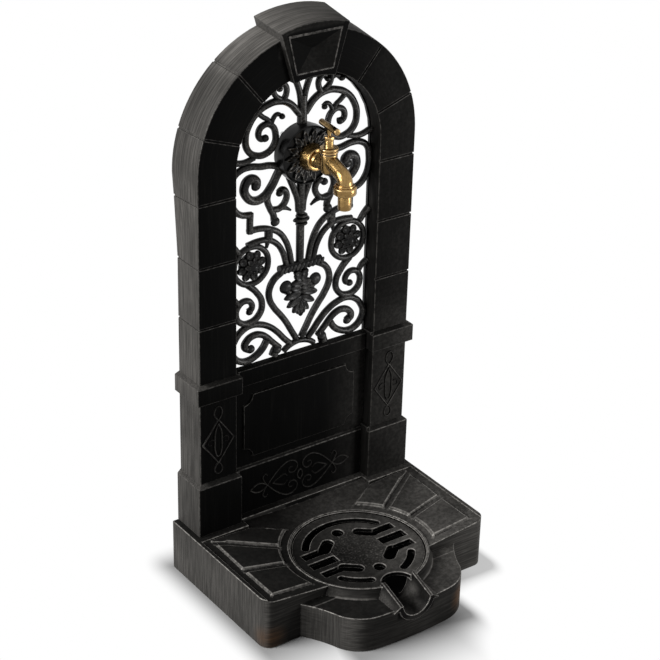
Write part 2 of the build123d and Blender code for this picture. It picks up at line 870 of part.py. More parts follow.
# Scroll pattern, drawn on the right half round the arch centre and mirrored
DRAWING_UNITS = {"half": 107.8, "leg": 277.0}
pattern_x = opening_half / DRAWING_UNITS["half"]
pattern_z = (arch_centre_height - band_top) / DRAWING_UNITS["leg"]
SCROLLS = {
    "crown_scroll": (
        [
            (4, 50), (20, 67), (36, 72.5), (51, 71), (66, 64), (78, 50), (83, 33), (79, 17), (67, 8.5),
            (53, 8), (42, 16), (39, 30), (45, 43), (56, 46), (64, 38), (61, 29), (55, 29),
        ],
        9.0, 7.5,
    ),
    "crown_sprig_out": ([(46, 43), (50, 51), (57, 56), (65, 63)], 6.0, 7.0),
    "crown_sprig_in": ([(46, 42), (43, 51), (37, 56), (31, 53)], 6.5, 5.5),
    "top_curl": ([(30, 70), (24, 80), (25, 90), (31, 94), (36, 89)], 8.0, 7.0),
    "top_post": ([(32, 74), (41, 82), (43, 94), (42, 108)], 7.0, 8.0),
    "top_bud": ([(42, 87), (50, 90), (57, 86)], 6.0, 8.0),
    "side_link": ([(70, 6), (88, 3), (109, 8)], 7.0, 9.0),
    "side_c": (
        [
            (31, -13), (39, -10.5), (48, -8.5), (60, -7.5), (76, -4.5), (91, -6.5), (101.5, -15), (105.5, -28),
            (105, -43), (100, -56), (90, -65), (74, -68.5),
        ],
        8.5, 8.0,
    ),
    "side_post": ([(75.5, -66), (76, -78), (76, -93)], 9.0, 9.0),
    "inner_arm": (
        [(79, -90), (60, -90.5), (45, -95), (32, -103), (23, -115), (17, -130), (12.5, -152)], 8.5, 8.0,
    ),
    "side_spiral": (
        [
            (28, -10), (36, -23), (44.5, -37), (55, -48), (69, -51), (81, -43), (84.5, -30), (77, -21),
            (68, -24), (67, -31),
        ],
        10.0, 11.5,
    ),
    "curl_stalk": ([(47, -40), (50.5, -54), (46, -67), (41, -77), (40, -84)], 8.0, 9.0),
    "curl": ([(43, -69), (32, -69.5), (23.5, -62), (22, -51.5), (28, -45), (34, -48)], 8.0, 8.0),
    "curl_leaf": ([(31, -68), (23, -71), (15, -76)], 9.0, 3.0),
    "leg": ([(20, -27), (17, -36), (10, -50), (5, -64), (3.5, -80)], 9.0, 8.0),
    "outer_arm": (
        [(20, -152), (28, -128), (37, -116), (50, -108.5), (65, -107), (80, -109)], 8.0, 8.0,
    ),
    "arm_block": ([(48, -108), (48, -93)], 11.0, 11.0),
    "arm_drop": ([(49, -108), (51, -119)], 8.0, 4.0),
    "flower_link": ([(93, -116), (101, -106), (110, -100)], 8.0, 10.0),
    "lower_s": (
        [
            (79, -164), (66, -177), (57.5, -194), (61, -209), (75, -217.5), (90, -214), (96.5, -202),
            (93, -190), (83, -185), (74, -190), (73, -198), (78, -201),
        ],
        8.5, 7.5,
    ),
    "lower_link": ([(92, -190), (99, -180), (110, -174)], 7.0, 9.0),
    "heart": (
        [
            (28, -159), (40, -167), (46.5, -180), (46, -192), (39, -206), (29, -219), (20.5, -231), (12, -246),
            (4, -260),
        ],
        9.0, 8.5,
    ),
    "corner_c": (
        [
            (14, -264), (22, -256), (33, -243), (46, -231.5), (60, -224.5), (75, -222), (89, -227), (100, -238),
            (104, -250), (100, -262), (91, -270), (79, -272.5), (67, -269), (57, -261), (49.5, -250),
        ],
        8.0, 9.0,
    ),
    "corner_spiral": (
        [
            (30, -266), (41, -255), (50, -245.5), (58.5, -239.5), (69, -237.5), (79.5, -242), (83.5, -250.5),
            (77, -256),
        ],
        8.0, 9.5,
    ),
    "corner_leaf": ([(31, -262), (37, -268), (39, -280)], 9.0, 12.0),
    "palm_volute": ([(2, -197), (10, -193), (18, -189), (23, -184)], 8.0, 10.0),
    "palm_leaf_upper": ([(0, -196), (13, -195), (26, -197)], 10.0, 4.0),
    "palm_leaf_lower": ([(0, -203), (9, -204), (19, -209)], 10.0, 4.0),
}
KNOBS = {
    "stalk_bulb": (40, -85, 7.0),
    "bud_end": (57, 86, 4.6),
    "curl_eye": (34, -47.5, 5.2),
    "side_eye": (68.5, -30.5, 6.4),
    "crown_eye": (56, 29.5, 5.2),
    "s_eye": (78, -200.5, 5.0),
    "corner_eye": (76, -255, 6.0),
    "volute_eye": (23, -181, 9.0),
}
CENTRE_PIECES = {
    "flower": (74, -138),
    "stem_foot": (0, -208),
    "knot": (0, -91),
    "vase_rim": (0, -155),
    "drop": (0, -214),
    "lens_end": (26, -275),
    "lens_top": (0, -260),
}
flower_ring_radius = 25.5
flower_radius = 17.0
flower_petals = 8
flower_petal_radius = 6.2
stem_half = 5.8
trumpet_half = 16.0
trumpet_height = 30.0
knot_size = (25.0, 12.0)
rim_half = 33.0
rim_thickness = 13.0
drop_size = (10.0, 26.0)
trumpet_lap = 2.0


def drawn(point):
    """Front-view place of a point of the scroll drawing."""
    return (point[0] * pattern_x, arch_centre_height + point[1] * pattern_z)


stem_drop = arch_centre_height - drawn(CENTRE_PIECES["stem_foot"])[1]
lens_end = drawn(CENTRE_PIECES["lens_end"])
lens_top = drawn(CENTRE_PIECES["lens_top"])


with BuildSketch(upright(reveal_back)) as scroll_bars:
    for points, start_width, end_width in SCROLLS.values():
        centre = [drawn(point) for point in points]
        left, right = band_outline(centre, start_width * pattern_x, end_width * pattern_x)
        with BuildLine():
            Spline(*left) if len(left) > 2 else Line(*left)
            Spline(*right) if len(right) > 2 else Line(*right)
            Line(left[0], right[0])
            Line(left[-1], right[-1])
        make_face()
    for x, z, radius in KNOBS.values():
        with Locations(drawn((x, z))):
            Circle(radius * pattern_x)
    with Locations(drawn(CENTRE_PIECES["flower"])):
        Circle(flower_ring_radius + bar_width / 2)
        Circle(flower_ring_radius - bar_width / 2, mode=Mode.SUBTRACT)
    with Locations(drawn(CENTRE_PIECES["flower"])):
        Circle(flower_radius)
        with PolarLocations(flower_radius, flower_petals):
            Circle(flower_petal_radius)
    mirror(about=Plane.YZ)
    with Locations(drawn((0, 0))):
        Rectangle(2 * stem_half, stem_drop, align=(Align.CENTER, Align.MAX))
        Rectangle(2 * stem_half, opening_half + grille_ring_width / 2, align=(Align.CENTER, Align.MIN))
    with Locations((0, arch_centre_height + opening_half + trumpet_lap)):
        Trapezoid(2 * trumpet_half, trumpet_height, 70, rotation=180, align=(Align.CENTER, Align.MIN))
    with Locations(drawn(CENTRE_PIECES["knot"])):
        Ellipse(knot_size[0] / 2, knot_size[1] / 2)
    with Locations(drawn(CENTRE_PIECES["vase_rim"])):
        SlotOverall(2 * rim_half, rim_thickness)
    with Locations(drawn(CENTRE_PIECES["drop"])):
        Ellipse(drop_size[0] / 2, drop_size[1] / 2)
    with BuildLine():
        ThreePointArc((-lens_end[0], lens_end[1]), lens_top, lens_end)
        Line(lens_end, (lens_end[0] - bar_width, lens_end[1]))
        ThreePointArc(
            (lens_end[0] - bar_width, lens_end[1]),
            (lens_top[0], lens_top[1] - bar_width),
            (bar_width - lens_end[0], lens_end[1]),
        )
        Line((bar_width - lens_end[0], lens_end[1]), (-lens_end[0], lens_end[1]))
    make_face()

# Scroll grille: bars inside the opening, a hidden rim behind the reveal and the tap drum
bar_gap = 0.3
rim_lap = 1.5
bar_rear_depth = bar_front_depth - bar_thickness
rosette_rear_depth = drum_face_depth - rosette_thickness - leaf_proud
ring_rear_depth = reveal_back - grille_ring_thickness
rail_bottom = band_bottom + apron_gap


def rosette_screw_places():
    """Front-view places of the rosette screws, in the drum's ledge."""
    return [
        (
            rosette_screw_circle * cos(radians(angle)),
            arch_centre_height + rosette_screw_circle * sin(radians(angle)),
        )
        for angle in rosette_screw_angles
    ]


with BuildSketch(Plane.XY) as bar_limits:
    with Locations((0, band_top + bar_gap)):
        Rectangle(
            2 * (opening_half - bar_gap),
            arch_centre_height - band_top - bar_gap,
            align=(Align.CENTER, Align.MIN),
        )
    with Locations((0, arch_centre_height)):
        Circle(opening_half - bar_gap)

with BuildPart() as scroll_grille:
    with BuildSketch(upright(bar_rear_depth)):
        add(scroll_bars.sketch_local)
        add(bar_limits.sketch_local, mode=Mode.INTERSECT)
    extrude(amount=bar_thickness)
    with BuildSketch(upright(ring_rear_depth)):
        with Locations((0, rail_bottom)):
            Rectangle(
                2 * ring_outer_half, arch_centre_height - rail_bottom, align=(Align.CENTER, Align.MIN)
            )
        with Locations((0, arch_centre_height)):
            Circle(ring_outer_half)
        with Locations((0, band_top + bar_gap + rim_lap)):
            Rectangle(
                2 * (opening_half - bar_gap - rim_lap),
                arch_centre_height - band_top - bar_gap - rim_lap,
                align=(Align.CENTER, Align.MIN),
                mode=Mode.SUBTRACT,
            )
        with Locations((0, arch_centre_height)):
            Circle(opening_half - bar_gap - rim_lap, mode=Mode.SUBTRACT)
        with Locations(*screw_places()):
            Circle(screw_radius + bolt_hole_clearance, mode=Mode.SUBTRACT)
    extrude(amount=grille_ring_thickness)
    with BuildSketch(upright(ring_rear_depth)):
        with Locations((0, arch_centre_height)):
            Circle(drum_rear_radius - drum_wall / 2)
    extrude(amount=drum_face_depth, mode=Mode.SUBTRACT)
    with BuildSketch(Plane.YZ):
        with BuildLine():
            Polyline(
                (back_y - ring_rear_depth, tap_z + drum_rear_radius - drum_wall),
                (back_y - ring_rear_depth, tap_z + drum_rear_radius),
                (back_y - bar_front_depth, tap_z + drum_rear_radius),
                (back_y - drum_face_depth, tap_z + drum_front_radius),
                (back_y - drum_face_depth, tap_z + rosette_seat_radius),
                (back_y - rosette_rear_depth, tap_z + rosette_seat_radius),
                (back_y - rosette_rear_depth, tap_z + drum_rear_radius - drum_wall),
                close=True,
            )
        make_face()
    revolve(axis=shank_axis)
    with BuildSketch(upright(rosette_rear_depth)):
        with Locations(*rosette_screw_places()):
            Circle(screw_radius + bolt_hole_clearance)
    extrude(amount=-drum_face_depth, mode=Mode.SUBTRACT)
save(scroll_grille.part, "scroll_grille")

# Leaf rosette in the mouth of the drum, with a hole for the tap's shank
with BuildPart() as leaf_rosette:
    with BuildSketch(upright(rosette_rear_depth)):
        with Locations((0, arch_centre_height)):
            Circle(rosette_seat_radius - rosette_gap)
    extrude(amount=rosette_thickness)
    with BuildSketch(upright(rosette_rear_depth + rosette_thickness)):
        for count, radius, reach, half in (
            (rosette_leaves, leaf_outer_root, leaf_outer_tip, leaf_outer_half),
            (rosette_leaves, leaf_inner_root, leaf_inner_tip, leaf_inner_half),
        ):
            with Locations((0, arch_centre_height)):
                with PolarLocations((radius + reach) / 2, count):
                    Ellipse((reach - radius) / 2, half)
    extrude(amount=leaf_proud)
    with BuildSketch(upright(rosette_rear_depth)):
        with Locations((0, arch_centre_height)):
            Circle(shank_radius + bolt_hole_clearance)
    extrude(amount=rosette_thickness + leaf_proud, mode=Mode.SUBTRACT)
    with BuildSketch(upright(rosette_rear_depth)):
        with Locations(*rosette_screw_places()):
            Circle(screw_radius + thread_clearance)
    extrude(amount=rosette_screw_bite + bolt_hole_clearance, mode=Mode.SUBTRACT)
save(leaf_rosette.part, "leaf_rosette")


def rear_screws(places, bearing_depth, bite):
    """Adds round-headed screws driven forward from a bearing face to the current part."""
    with BuildSketch(upright(bearing_depth)) as heads:
        with Locations(*places):
            Circle(screw_head_radius)
    extrude(heads.sketch, amount=-screw_head)
    with BuildSketch(upright(bearing_depth)) as shanks:
        with Locations(*places):
            Circle(screw_radius)
    extrude(shanks.sketch, amount=bite)


# Screws that hold the grille, the apron and the rosette from behind
with BuildPart() as grille_screws:
    rear_screws(screw_places(), ring_rear_depth, grille_ring_thickness + screw_bite)
save(grille_screws.part, "grille_screws")

with BuildPart() as apron_screws:
    rear_screws(apron_screw_places(), ring_rear_depth, grille_ring_thickness + screw_bite)
save(apron_screws.part, "apron_screws")

with BuildPart() as rosette_screws:
    rosette_reach = rosette_rear_depth - ring_rear_depth
    rear_screws(rosette_screw_places(), ring_rear_depth, rosette_reach + rosette_screw_bite)
save(rosette_screws.part, "rosette_screws")

# Tap heights above the floor
seat_top = tap_z + seat_height
seat_ring_top = seat_top + seat_ring
body_top = tap_z + tap_body_top
flange_bottom = body_top + seal_thickness
flange_top = flange_bottom + bonnet_flange
flange_middle = (flange_bottom + flange_top) / 2
barrel_top = flange_top + bonnet_barrel
handle_z = tap_z + handle_height
washer_bottom = seat_ring_top + valve_seat_gap
washer_top = washer_bottom + valve_washer
jumper_top = washer_top + jumper_plate
spindle_bottom = jumper_top + jumper_gap
chamber_radius = tap_body_radius - tap_wall
chamber_bottom = tap_z - tap_body_bottom + tap_wall
body_bottom = tap_z - tap_body_bottom - body_dome
jumper_hole_top = jumper_top + jumper_stem + loose_gap
outlet_bottom = tap_z - outlet_drop - outlet_thread
seal_bottom = outlet_bottom - tail_seal
tail_flange_bottom = seal_bottom - tail_flange
union_bottom = tail_flange_bottom - union_lip
union_top = outlet_bottom + outlet_thread - soft_edge
tail_bottom = union_bottom - tail_length
shank_front = rosette_rear_depth + rosette_thickness + leaf_proud


def turned(points, axis, plane):
    """Adds a body turned from a closed outline to the current part."""
    with BuildSketch(plane) as outline:
        with BuildLine():
            Polyline(*points, close=True)
        make_face()
    revolve(outline.sketch, axis=axis)


def on_spindle(points):
    """Adds a body turned about the spindle, from radius and height pairs."""
    turned(points, spindle_axis, Plane.XZ.offset(-tap_y))


def on_outlet(points):
    """Adds a body turned about the outlet, from radius and height pairs."""
    turned([(x, z) for x, z in points], outlet_axis, Plane.XZ.offset(-outlet_y))


def on_shank(points):
    """Adds a body turned about the shank, from depth and radius pairs."""
    turned([(back_y - depth, tap_z + radius) for depth, radius in points], shank_axis, Plane.YZ)


# Waterway of the tap: shank bore, chamber below the seat, port, chamber above it and nozzle bore
with BuildPart() as tap_waterway:
    on_spindle(
        [
            (0, chamber_bottom),
            (chamber_radius, chamber_bottom),
            (chamber_radius, seat_top - seat_web),
            (seat_port_radius, seat_top - seat_web),
            (seat_port_radius, seat_ring_top),
            (seat_port_radius + seat_lip, seat_ring_top),
            (seat_port_radius + seat_lip_foot, seat_top),
            (chamber_radius, seat_top),
            (chamber_radius, body_top + seal_thickness),
            (0, body_top + seal_thickness),
        ]
    )
    with BuildSketch(upright(0)):
        with Locations((0, tap_z)):
            Circle(shank_bore)
    extrude(amount=tap_depth)
    with BuildSketch(upright(tap_depth)):
        with Locations((0, seat_top + side_port_radius + loose_gap)):
            Circle(side_port_radius)
    extrude(amount=side_port_reach)
    with BuildLine(Plane.YZ) as bore_path:
        FilletPolyline(
            (tap_y - bore_root, tap_z + bore_rise),
            (outlet_y, tap_z + nozzle_fall),
            (outlet_y, outlet_bottom - soft_edge),
            radius=nozzle_bend,
        )
    with BuildSketch(Plane(bore_path.line @ 0, z_dir=bore_path.line % 0)):
        Circle(nozzle_bore)
    sweep(path=bore_path.line)

# Tap body: barrel, shank through the wall and the curved nozzle
with BuildPart() as tap_body:
    on_spindle(
        [
            (0, body_bottom),
            (tap_body_radius * 0.6, body_bottom + body_dome / 4),
            (tap_body_radius * 0.9, body_bottom + 2 * body_dome),
            (tap_body_radius, body_bottom + 4 * body_dome),
            (tap_body_radius, body_top),
            (0, body_top),
        ]
    )
    on_shank(
        [
            (shank_rear_depth, 0),
            (shank_rear_depth, shank_radius - soft_edge),
            (shank_rear_depth + soft_edge, shank_radius),
            (shank_collar_depth, shank_radius),
            (shank_collar_depth + link_taper, shank_radius - link_drop),
            (tap_depth, shank_radius - link_drop),
            (tap_depth, 0),
        ]
    )
    with BuildLine(Plane.YZ) as nozzle_path:
        FilletPolyline(
            (tap_y - nozzle_root, tap_z + nozzle_rise),
            (outlet_y, tap_z + nozzle_fall),
            (outlet_y, outlet_bottom + outlet_thread),
            radius=nozzle_bend,
        )
    with BuildSketch(Plane(nozzle_path.line @ 0, z_dir=nozzle_path.line % 0)):
        Circle(nozzle_radius)
    sweep(path=nozzle_path.line)
    with Locations((0, outlet_y, outlet_bottom)):
        Cylinder(
            outlet_thread_radius, outlet_thread + union_edge, align=(Align.CENTER, Align.CENTER, Align.MIN)
        )
    add(tap_waterway.part, mode=Mode.SUBTRACT)
save(tap_body.part, "tap_body")

# Bell-shaped flange that covers the shank hole
flange_widest = shank_front + flange_foot

with BuildPart() as wall_flange:
    on_shank(
        [
            (shank_front, shank_radius + thread_clearance),
            (shank_front, flange_foot_radius),
            (flange_widest - flange_rim / 2, flange_foot_radius + flange_rim / 3),
            (flange_widest, flange_radius),
            (flange_widest + flange_rim, flange_radius),
            (flange_widest + 2 * flange_rim, flange_radius - flange_rim / 3),
            (shank_front + flange_reach - soft_edge, flange_nose_radius),
            (shank_front + flange_reach, flange_nose_radius - soft_edge),
            (shank_front + flange_reach, shank_radius + thread_clearance),
        ]
    )
save(wall_flange.part, "wall_flange")

# Washer and nut that clamp the shank behind the rosette
washer_rear_depth = rosette_rear_depth - back_washer
nut_rear_depth = washer_rear_depth - back_nut

with BuildPart() as back_washer_ring:
    with BuildSketch(upright(washer_rear_depth)):
        with Locations((0, tap_z)):
            Circle(back_washer_radius)
            Circle(shank_radius + bolt_hole_clearance, mode=Mode.SUBTRACT)
    extrude(amount=back_washer)
save(back_washer_ring.part, "back_washer")

with BuildPart() as back_nut_hex:
    with BuildSketch(upright(nut_rear_depth)):
        with Locations((0, tap_z)):
            RegularPolygon(back_nut_flats / 2, 6, major_radius=False)
            Circle(shank_radius + thread_clearance, mode=Mode.SUBTRACT)
    extrude(amount=back_nut)
save(back_nut_hex.part, "back_nut")

# Inlet elbow screwed on the end of the shank, with its tail pointing down
elbow_mouth_depth = nut_rear_depth - loose_gap
elbow_tail_y = back_y - elbow_tail_depth
elbow_tail_bottom = tap_z - elbow_tail_drop

with BuildPart() as inlet_elbow:
    with BuildSketch(upright(elbow_back_depth)):
        with Locations((0, tap_z)):
            Circle(elbow_radius)
    extrude(amount=elbow_mouth_depth - elbow_back_depth)
    with Locations((0, elbow_tail_y, elbow_tail_bottom)):
        Cylinder(elbow_tail_radius, elbow_tail_drop, align=(Align.CENTER, Align.CENTER, Align.MIN))
    with Locations((0, elbow_tail_y, elbow_tail_bottom + elbow_tail_length)):
        Cylinder(
            elbow_collar_radius,
            elbow_tail_drop - elbow_tail_length,
            align=(Align.CENTER, Align.CENTER, Align.MIN),
        )
    with BuildSketch(upright(shank_rear_depth - inlet_seal)):
        with Locations((0, tap_z)):
            Circle(shank_radius + thread_clearance)
    extrude(amount=shank_rear_depth, mode=Mode.SUBTRACT)
    with Locations((0, elbow_tail_y, elbow_tail_bottom)):
        Cylinder(
            elbow_bore,
            elbow_tail_drop + elbow_bore,
            align=(Align.CENTER, Align.CENTER, Align.MIN),
            mode=Mode.SUBTRACT,
        )
    with BuildSketch(upright(elbow_tail_depth)):
        with Locations((0, tap_z)):
            Circle(elbow_bore)
    extrude(amount=shank_rear_depth - elbow_tail_depth, mode=Mode.SUBTRACT)
save(inlet_elbow.part, "inlet_elbow")

with BuildPart() as inlet_seal_ring:
    with BuildSketch(upright(shank_rear_depth - inlet_seal)):
        with Locations((0, tap_z)):
            Circle(shank_radius - loose_gap)
            Circle(elbow_bore, mode=Mode.SUBTRACT)
    extrude(amount=inlet_seal)
save(inlet_seal_ring.part, "inlet_seal")

# Bonnet that screws into the barrel, with its seal, packing and gland nut
skirt_radius = chamber_radius - thread_clearance
skirt_bottom = body_top - bonnet_skirt
thread_bore = spindle_thread_radius + spindle_clearance
lift_room_radius = jumper_radius + loose_gap
lift_room_top = jumper_top + valve_lift_max + soft_edge
packing_bottom = barrel_top - packing_height - gland_nose
shaft_bore = spindle_radius + spindle_clearance
packing_radius = thread_bore + packing_step

with BuildPart() as bonnet_seal:
    with BuildSketch(Plane.XY.offset(body_top)):
        with Locations((0, tap_y)):
            Circle(tap_body_radius)
            Circle(chamber_radius + loose_gap, mode=Mode.SUBTRACT)
    extrude(amount=seal_thickness)
save(bonnet_seal.part, "bonnet_seal")

with BuildPart() as tap_bonnet:
    on_spindle(
        [
            (thread_bore, lift_room_top),
            (lift_room_radius, lift_room_top),
            (lift_room_radius, skirt_bottom),
            (skirt_radius, skirt_bottom),
            (skirt_radius, flange_bottom),
            (bonnet_radius - soft_edge, flange_bottom),
            (bonnet_radius, flange_bottom + soft_edge),
            (bonnet_radius, flange_middle - bonnet_groove),
            (bonnet_radius - bonnet_groove, flange_middle - loose_gap),
            (bonnet_radius - bonnet_groove, flange_middle + loose_gap),
            (bonnet_radius, flange_middle + bonnet_groove),
            (bonnet_radius, flange_top - soft_edge),
            (bonnet_radius - soft_edge, flange_top),
            (bonnet_barrel_radius + soft_edge, flange_top),
            (bonnet_barrel_radius, flange_top + 2 * soft_edge),
            (bonnet_barrel_radius, barrel_top),
            (packing_radius, barrel_top),
            (packing_radius, packing_bottom),
            (thread_bore, packing_bottom),
        ]
    )
save(tap_bonnet.part, "tap_bonnet")

with BuildPart() as gland_packing:
    with BuildSketch(Plane.XY.offset(packing_bottom)):
        with Locations((0, tap_y)):
            Circle(packing_radius - piece_gap)
            Circle(shaft_bore, mode=Mode.SUBTRACT)
    extrude(amount=packing_height)
save(gland_packing.part, "gland_packing")

with BuildPart() as gland_nut:
    with BuildSketch(Plane.XY.offset(barrel_top)):
        with Locations((0, tap_y)):
            RegularPolygon(gland_radius, 6)
            Circle(shaft_bore, mode=Mode.SUBTRACT)
    extrude(amount=gland_height)
    with BuildSketch(Plane.XY.offset(barrel_top - gland_nose)):
        with Locations((0, tap_y)):
            Circle(packing_radius - piece_gap)
            Circle(shaft_bore, mode=Mode.SUBTRACT)
    extrude(amount=gland_nose)
save(gland_nut.part, "gland_nut")

# Turning pieces: spindle with its thread, and the T-handle on top
thread_top = packing_bottom - valve_lift_max - loose_gap
handle_hub_bottom = handle_z - handle_hub
handle_tip_y = tap_y - handle_length / 2
spindle_top = handle_z

with BuildPart() as spindle:
    on_spindle(
        [
            (jumper_bore, spindle_bottom),
            (spindle_thread_radius - soft_edge, spindle_bottom),
            (spindle_thread_radius, spindle_bottom + soft_edge),
            (spindle_thread_radius, thread_top),
            (spindle_radius, thread_top),
            (spindle_radius, spindle_top),
            (0, spindle_top),
            (0, jumper_hole_top),
            (jumper_bore, jumper_hole_top),
        ]
    )
save(spindle.part, "spindle")

with BuildPart() as t_handle:
    on_spindle(
        [
            (0, handle_hub_bottom),
            (handle_hub_radius, handle_hub_bottom),
            (handle_hub_radius, handle_z),
            (0, handle_z),
        ]
    )
    with BuildSketch(Plane.YZ):
        with BuildLine():
            Polyline(
                (tap_y, handle_z),
                (handle_tip_y, handle_z),
                (handle_tip_y, handle_z + handle_bar_radius - soft_edge),
                (handle_tip_y + soft_edge, handle_z + handle_bar_radius),
                (tap_y, handle_z + handle_bar_radius),
                close=True,
            )
        make_face()
        mirror(about=Plane.YZ.offset(tap_y))
    revolve(axis=Axis((0, 0, handle_z), (0, 1, 0)))
    with Locations((0, tap_y, handle_hub_bottom)):
        Cylinder(
            spindle_radius + thread_clearance,
            spindle_top - handle_hub_bottom + thread_clearance,
            align=(Align.CENTER, Align.CENTER, Align.MIN),
            mode=Mode.SUBTRACT,
        )
turned_handle = t_handle.part.rotate(spindle_axis, -handle_rest_angle)
save(turned_handle, "t_handle")

# Jumper valve with its washer and nut
with BuildPart() as jumper_valve:
    with BuildSketch(Plane.XY.offset(washer_top)):
        with Locations((0, tap_y)):
            Circle(jumper_radius)
    extrude(amount=jumper_plate)
    with BuildSketch(Plane.XY.offset(jumper_top)):
        with Locations((0, tap_y)):
            Circle(jumper_stem_radius)
    extrude(amount=jumper_stem)
    with BuildSketch(Plane.XY.offset(washer_top)):
        with Locations((0, tap_y)):
            Circle(jumper_stem_radius)
    extrude(amount=-valve_washer - washer_nut_height - soft_edge)
save(jumper_valve.part, "jumper_valve")

with BuildPart() as valve_washer_disc:
    with BuildSketch(Plane.XY.offset(washer_bottom)):
        with Locations((0, tap_y)):
            Circle(valve_washer_radius)
            Circle(jumper_stem_radius + thread_clearance, mode=Mode.SUBTRACT)
    extrude(amount=valve_washer)
save(valve_washer_disc.part, "valve_washer")

with BuildPart() as washer_nut:
    with BuildSketch(Plane.XY.offset(washer_bottom)):
        with Locations((0, tap_y)):
            RegularPolygon(washer_nut_radius, 6)
            Circle(jumper_stem_radius + thread_clearance, mode=Mode.SUBTRACT)
    extrude(amount=-washer_nut_height)
save(washer_nut.part, "washer_nut")

# Hose tail, its seal and the union nut that draws it up to the outlet
with BuildPart() as hose_tail_seal:
    with BuildSketch(Plane.XY.offset(seal_bottom)):
        with Locations((0, outlet_y)):
            Circle(outlet_thread_radius - loose_gap)
            Circle(tail_bore, mode=Mode.SUBTRACT)
    extrude(amount=tail_seal)
save(hose_tail_seal.part, "hose_tail_seal")

with BuildPart() as hose_tail:
    on_outlet(
        [
            (tail_bore, tail_bottom),
            (tail_radius - soft_edge, tail_bottom),
            (tail_radius, tail_bottom + soft_edge),
            (tail_radius, union_bottom - loose_gap),
            (tail_neck_radius, union_bottom - loose_gap),
            (tail_neck_radius, tail_flange_bottom),
            (outlet_thread_radius - loose_gap, tail_flange_bottom),
            (outlet_thread_radius - loose_gap, seal_bottom),
            (tail_bore, seal_bottom),
        ]
    )
save(hose_tail.part, "hose_tail")

with BuildPart() as hose_union_nut:
    on_outlet(
        [
            (tail_neck_radius + thread_clearance, union_bottom),
            (union_radius - union_edge, union_bottom),
            (union_radius, union_bottom + union_edge),
            (union_radius, union_top - union_edge),
            (union_radius - union_edge, union_top),
            (outlet_thread_radius + thread_clearance, union_top),
            (outlet_thread_radius + thread_clearance, tail_flange_bottom),
            (tail_neck_radius + thread_clearance, tail_flange_bottom),
        ]
    )
save(hose_union_nut.part, "hose_union_nut")
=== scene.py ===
"""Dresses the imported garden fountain: soft castings, ornament, brass tap, finishes and a plain stage."""

import math

import bmesh
import bpy
from bpy.props import FloatProperty, FloatVectorProperty, IntProperty
from mathutils import Matrix, Vector


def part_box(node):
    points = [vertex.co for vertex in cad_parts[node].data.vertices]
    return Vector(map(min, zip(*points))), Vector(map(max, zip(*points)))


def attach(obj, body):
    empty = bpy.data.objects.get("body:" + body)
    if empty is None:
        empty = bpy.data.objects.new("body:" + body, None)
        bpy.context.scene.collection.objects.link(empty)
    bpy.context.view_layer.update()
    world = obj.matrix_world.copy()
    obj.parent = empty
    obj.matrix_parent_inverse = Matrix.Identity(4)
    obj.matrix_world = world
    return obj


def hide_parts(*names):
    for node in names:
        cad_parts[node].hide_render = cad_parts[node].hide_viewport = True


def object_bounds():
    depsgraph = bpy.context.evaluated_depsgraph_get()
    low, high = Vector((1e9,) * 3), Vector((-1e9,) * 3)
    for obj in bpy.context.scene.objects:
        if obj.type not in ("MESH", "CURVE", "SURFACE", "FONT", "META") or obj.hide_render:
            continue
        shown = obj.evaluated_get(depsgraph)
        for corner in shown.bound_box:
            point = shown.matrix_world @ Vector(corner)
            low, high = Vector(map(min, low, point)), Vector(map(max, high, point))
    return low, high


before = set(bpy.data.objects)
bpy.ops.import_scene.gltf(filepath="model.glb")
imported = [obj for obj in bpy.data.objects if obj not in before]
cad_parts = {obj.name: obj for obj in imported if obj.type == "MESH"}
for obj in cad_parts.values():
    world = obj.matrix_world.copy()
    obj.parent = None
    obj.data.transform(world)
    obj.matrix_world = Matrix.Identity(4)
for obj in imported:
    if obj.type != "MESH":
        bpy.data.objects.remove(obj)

bl_info = {
    "name": "Garden fountain dressing",
    "version": (1, 0, 0),
    "blender": (4, 5, 0),
    "location": "3D View > Sidebar > Fountain",
    "description": "Models the castings, ornament and tap of a garden fountain round its packed frame",
    "category": "Object",
}

MM = 0.001
CAD_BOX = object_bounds()
WHITE = (1.0, 1.0, 1.0, 1.0)

# Places taken from the frame, in metres
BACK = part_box("wall_frame")[1].y
FLANGE_LOW, FLANGE_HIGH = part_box("wall_flange")
TAP_HEIGHT = (FLANGE_LOW.z + FLANGE_HIGH.z) / 2
GRATE_LOW, GRATE_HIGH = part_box("grate")
GRATE_CENTRE = (GRATE_LOW + GRATE_HIGH) / 2

# Height of the arch centre, in millimetres
ARCH = TAP_HEIGHT / MM

# Depths in front of the wall's back, in millimetres
DRUM_BACK_DEPTH = 25.0
RIM_MIDDLE_DEPTH = 27.0
KNOT_DEPTH = 28.5
PALM_DEPTH = 30.0
BAR_MIDDLE_DEPTH = 30.2
EYE_DEPTH = 30.5
ROLL_DEPTH = 31.2
BAR_CREST_DEPTH = 32.6
BEAD_DEPTH = 35.6
INNER_PETAL_DEPTH = 36.0
BLOCK_FACE_DEPTH = 38.0
ROSETTE_BACK_DEPTH = 41.9
ROSETTE_FACE_DEPTH = 44.9
PILLAR_FACE_DEPTH = 49.6

# Arch of the wall, in metres: radius of its streaks, outer radius, draft, and how far down the draft runs out
ARCH_RADIUS = 0.17
ARCH_OUTER = 0.1628
ARCH_DRAFT = 6.0 * MM
DRAFT_DROP = 90.0 * MM
# Keystone, in metres: rise of its crown, draft, foot and half width
KEY_RISE = 3.0 * MM
KEY_DRAFT = 2.0 * MM
KEY_FOOT = TAP_HEIGHT + 0.1
KEY_HALF = 0.05

# Foot, in metres: half width and front of its two steps, top of the lower step and the worn lines on it
FOOT_OUTLINE = [(0.176, -0.071), (0.085, -0.148)]
STEP_TOP = 50.0 * MM
RING_FOOT = 0.0986
LEDGE_LINE = -0.084
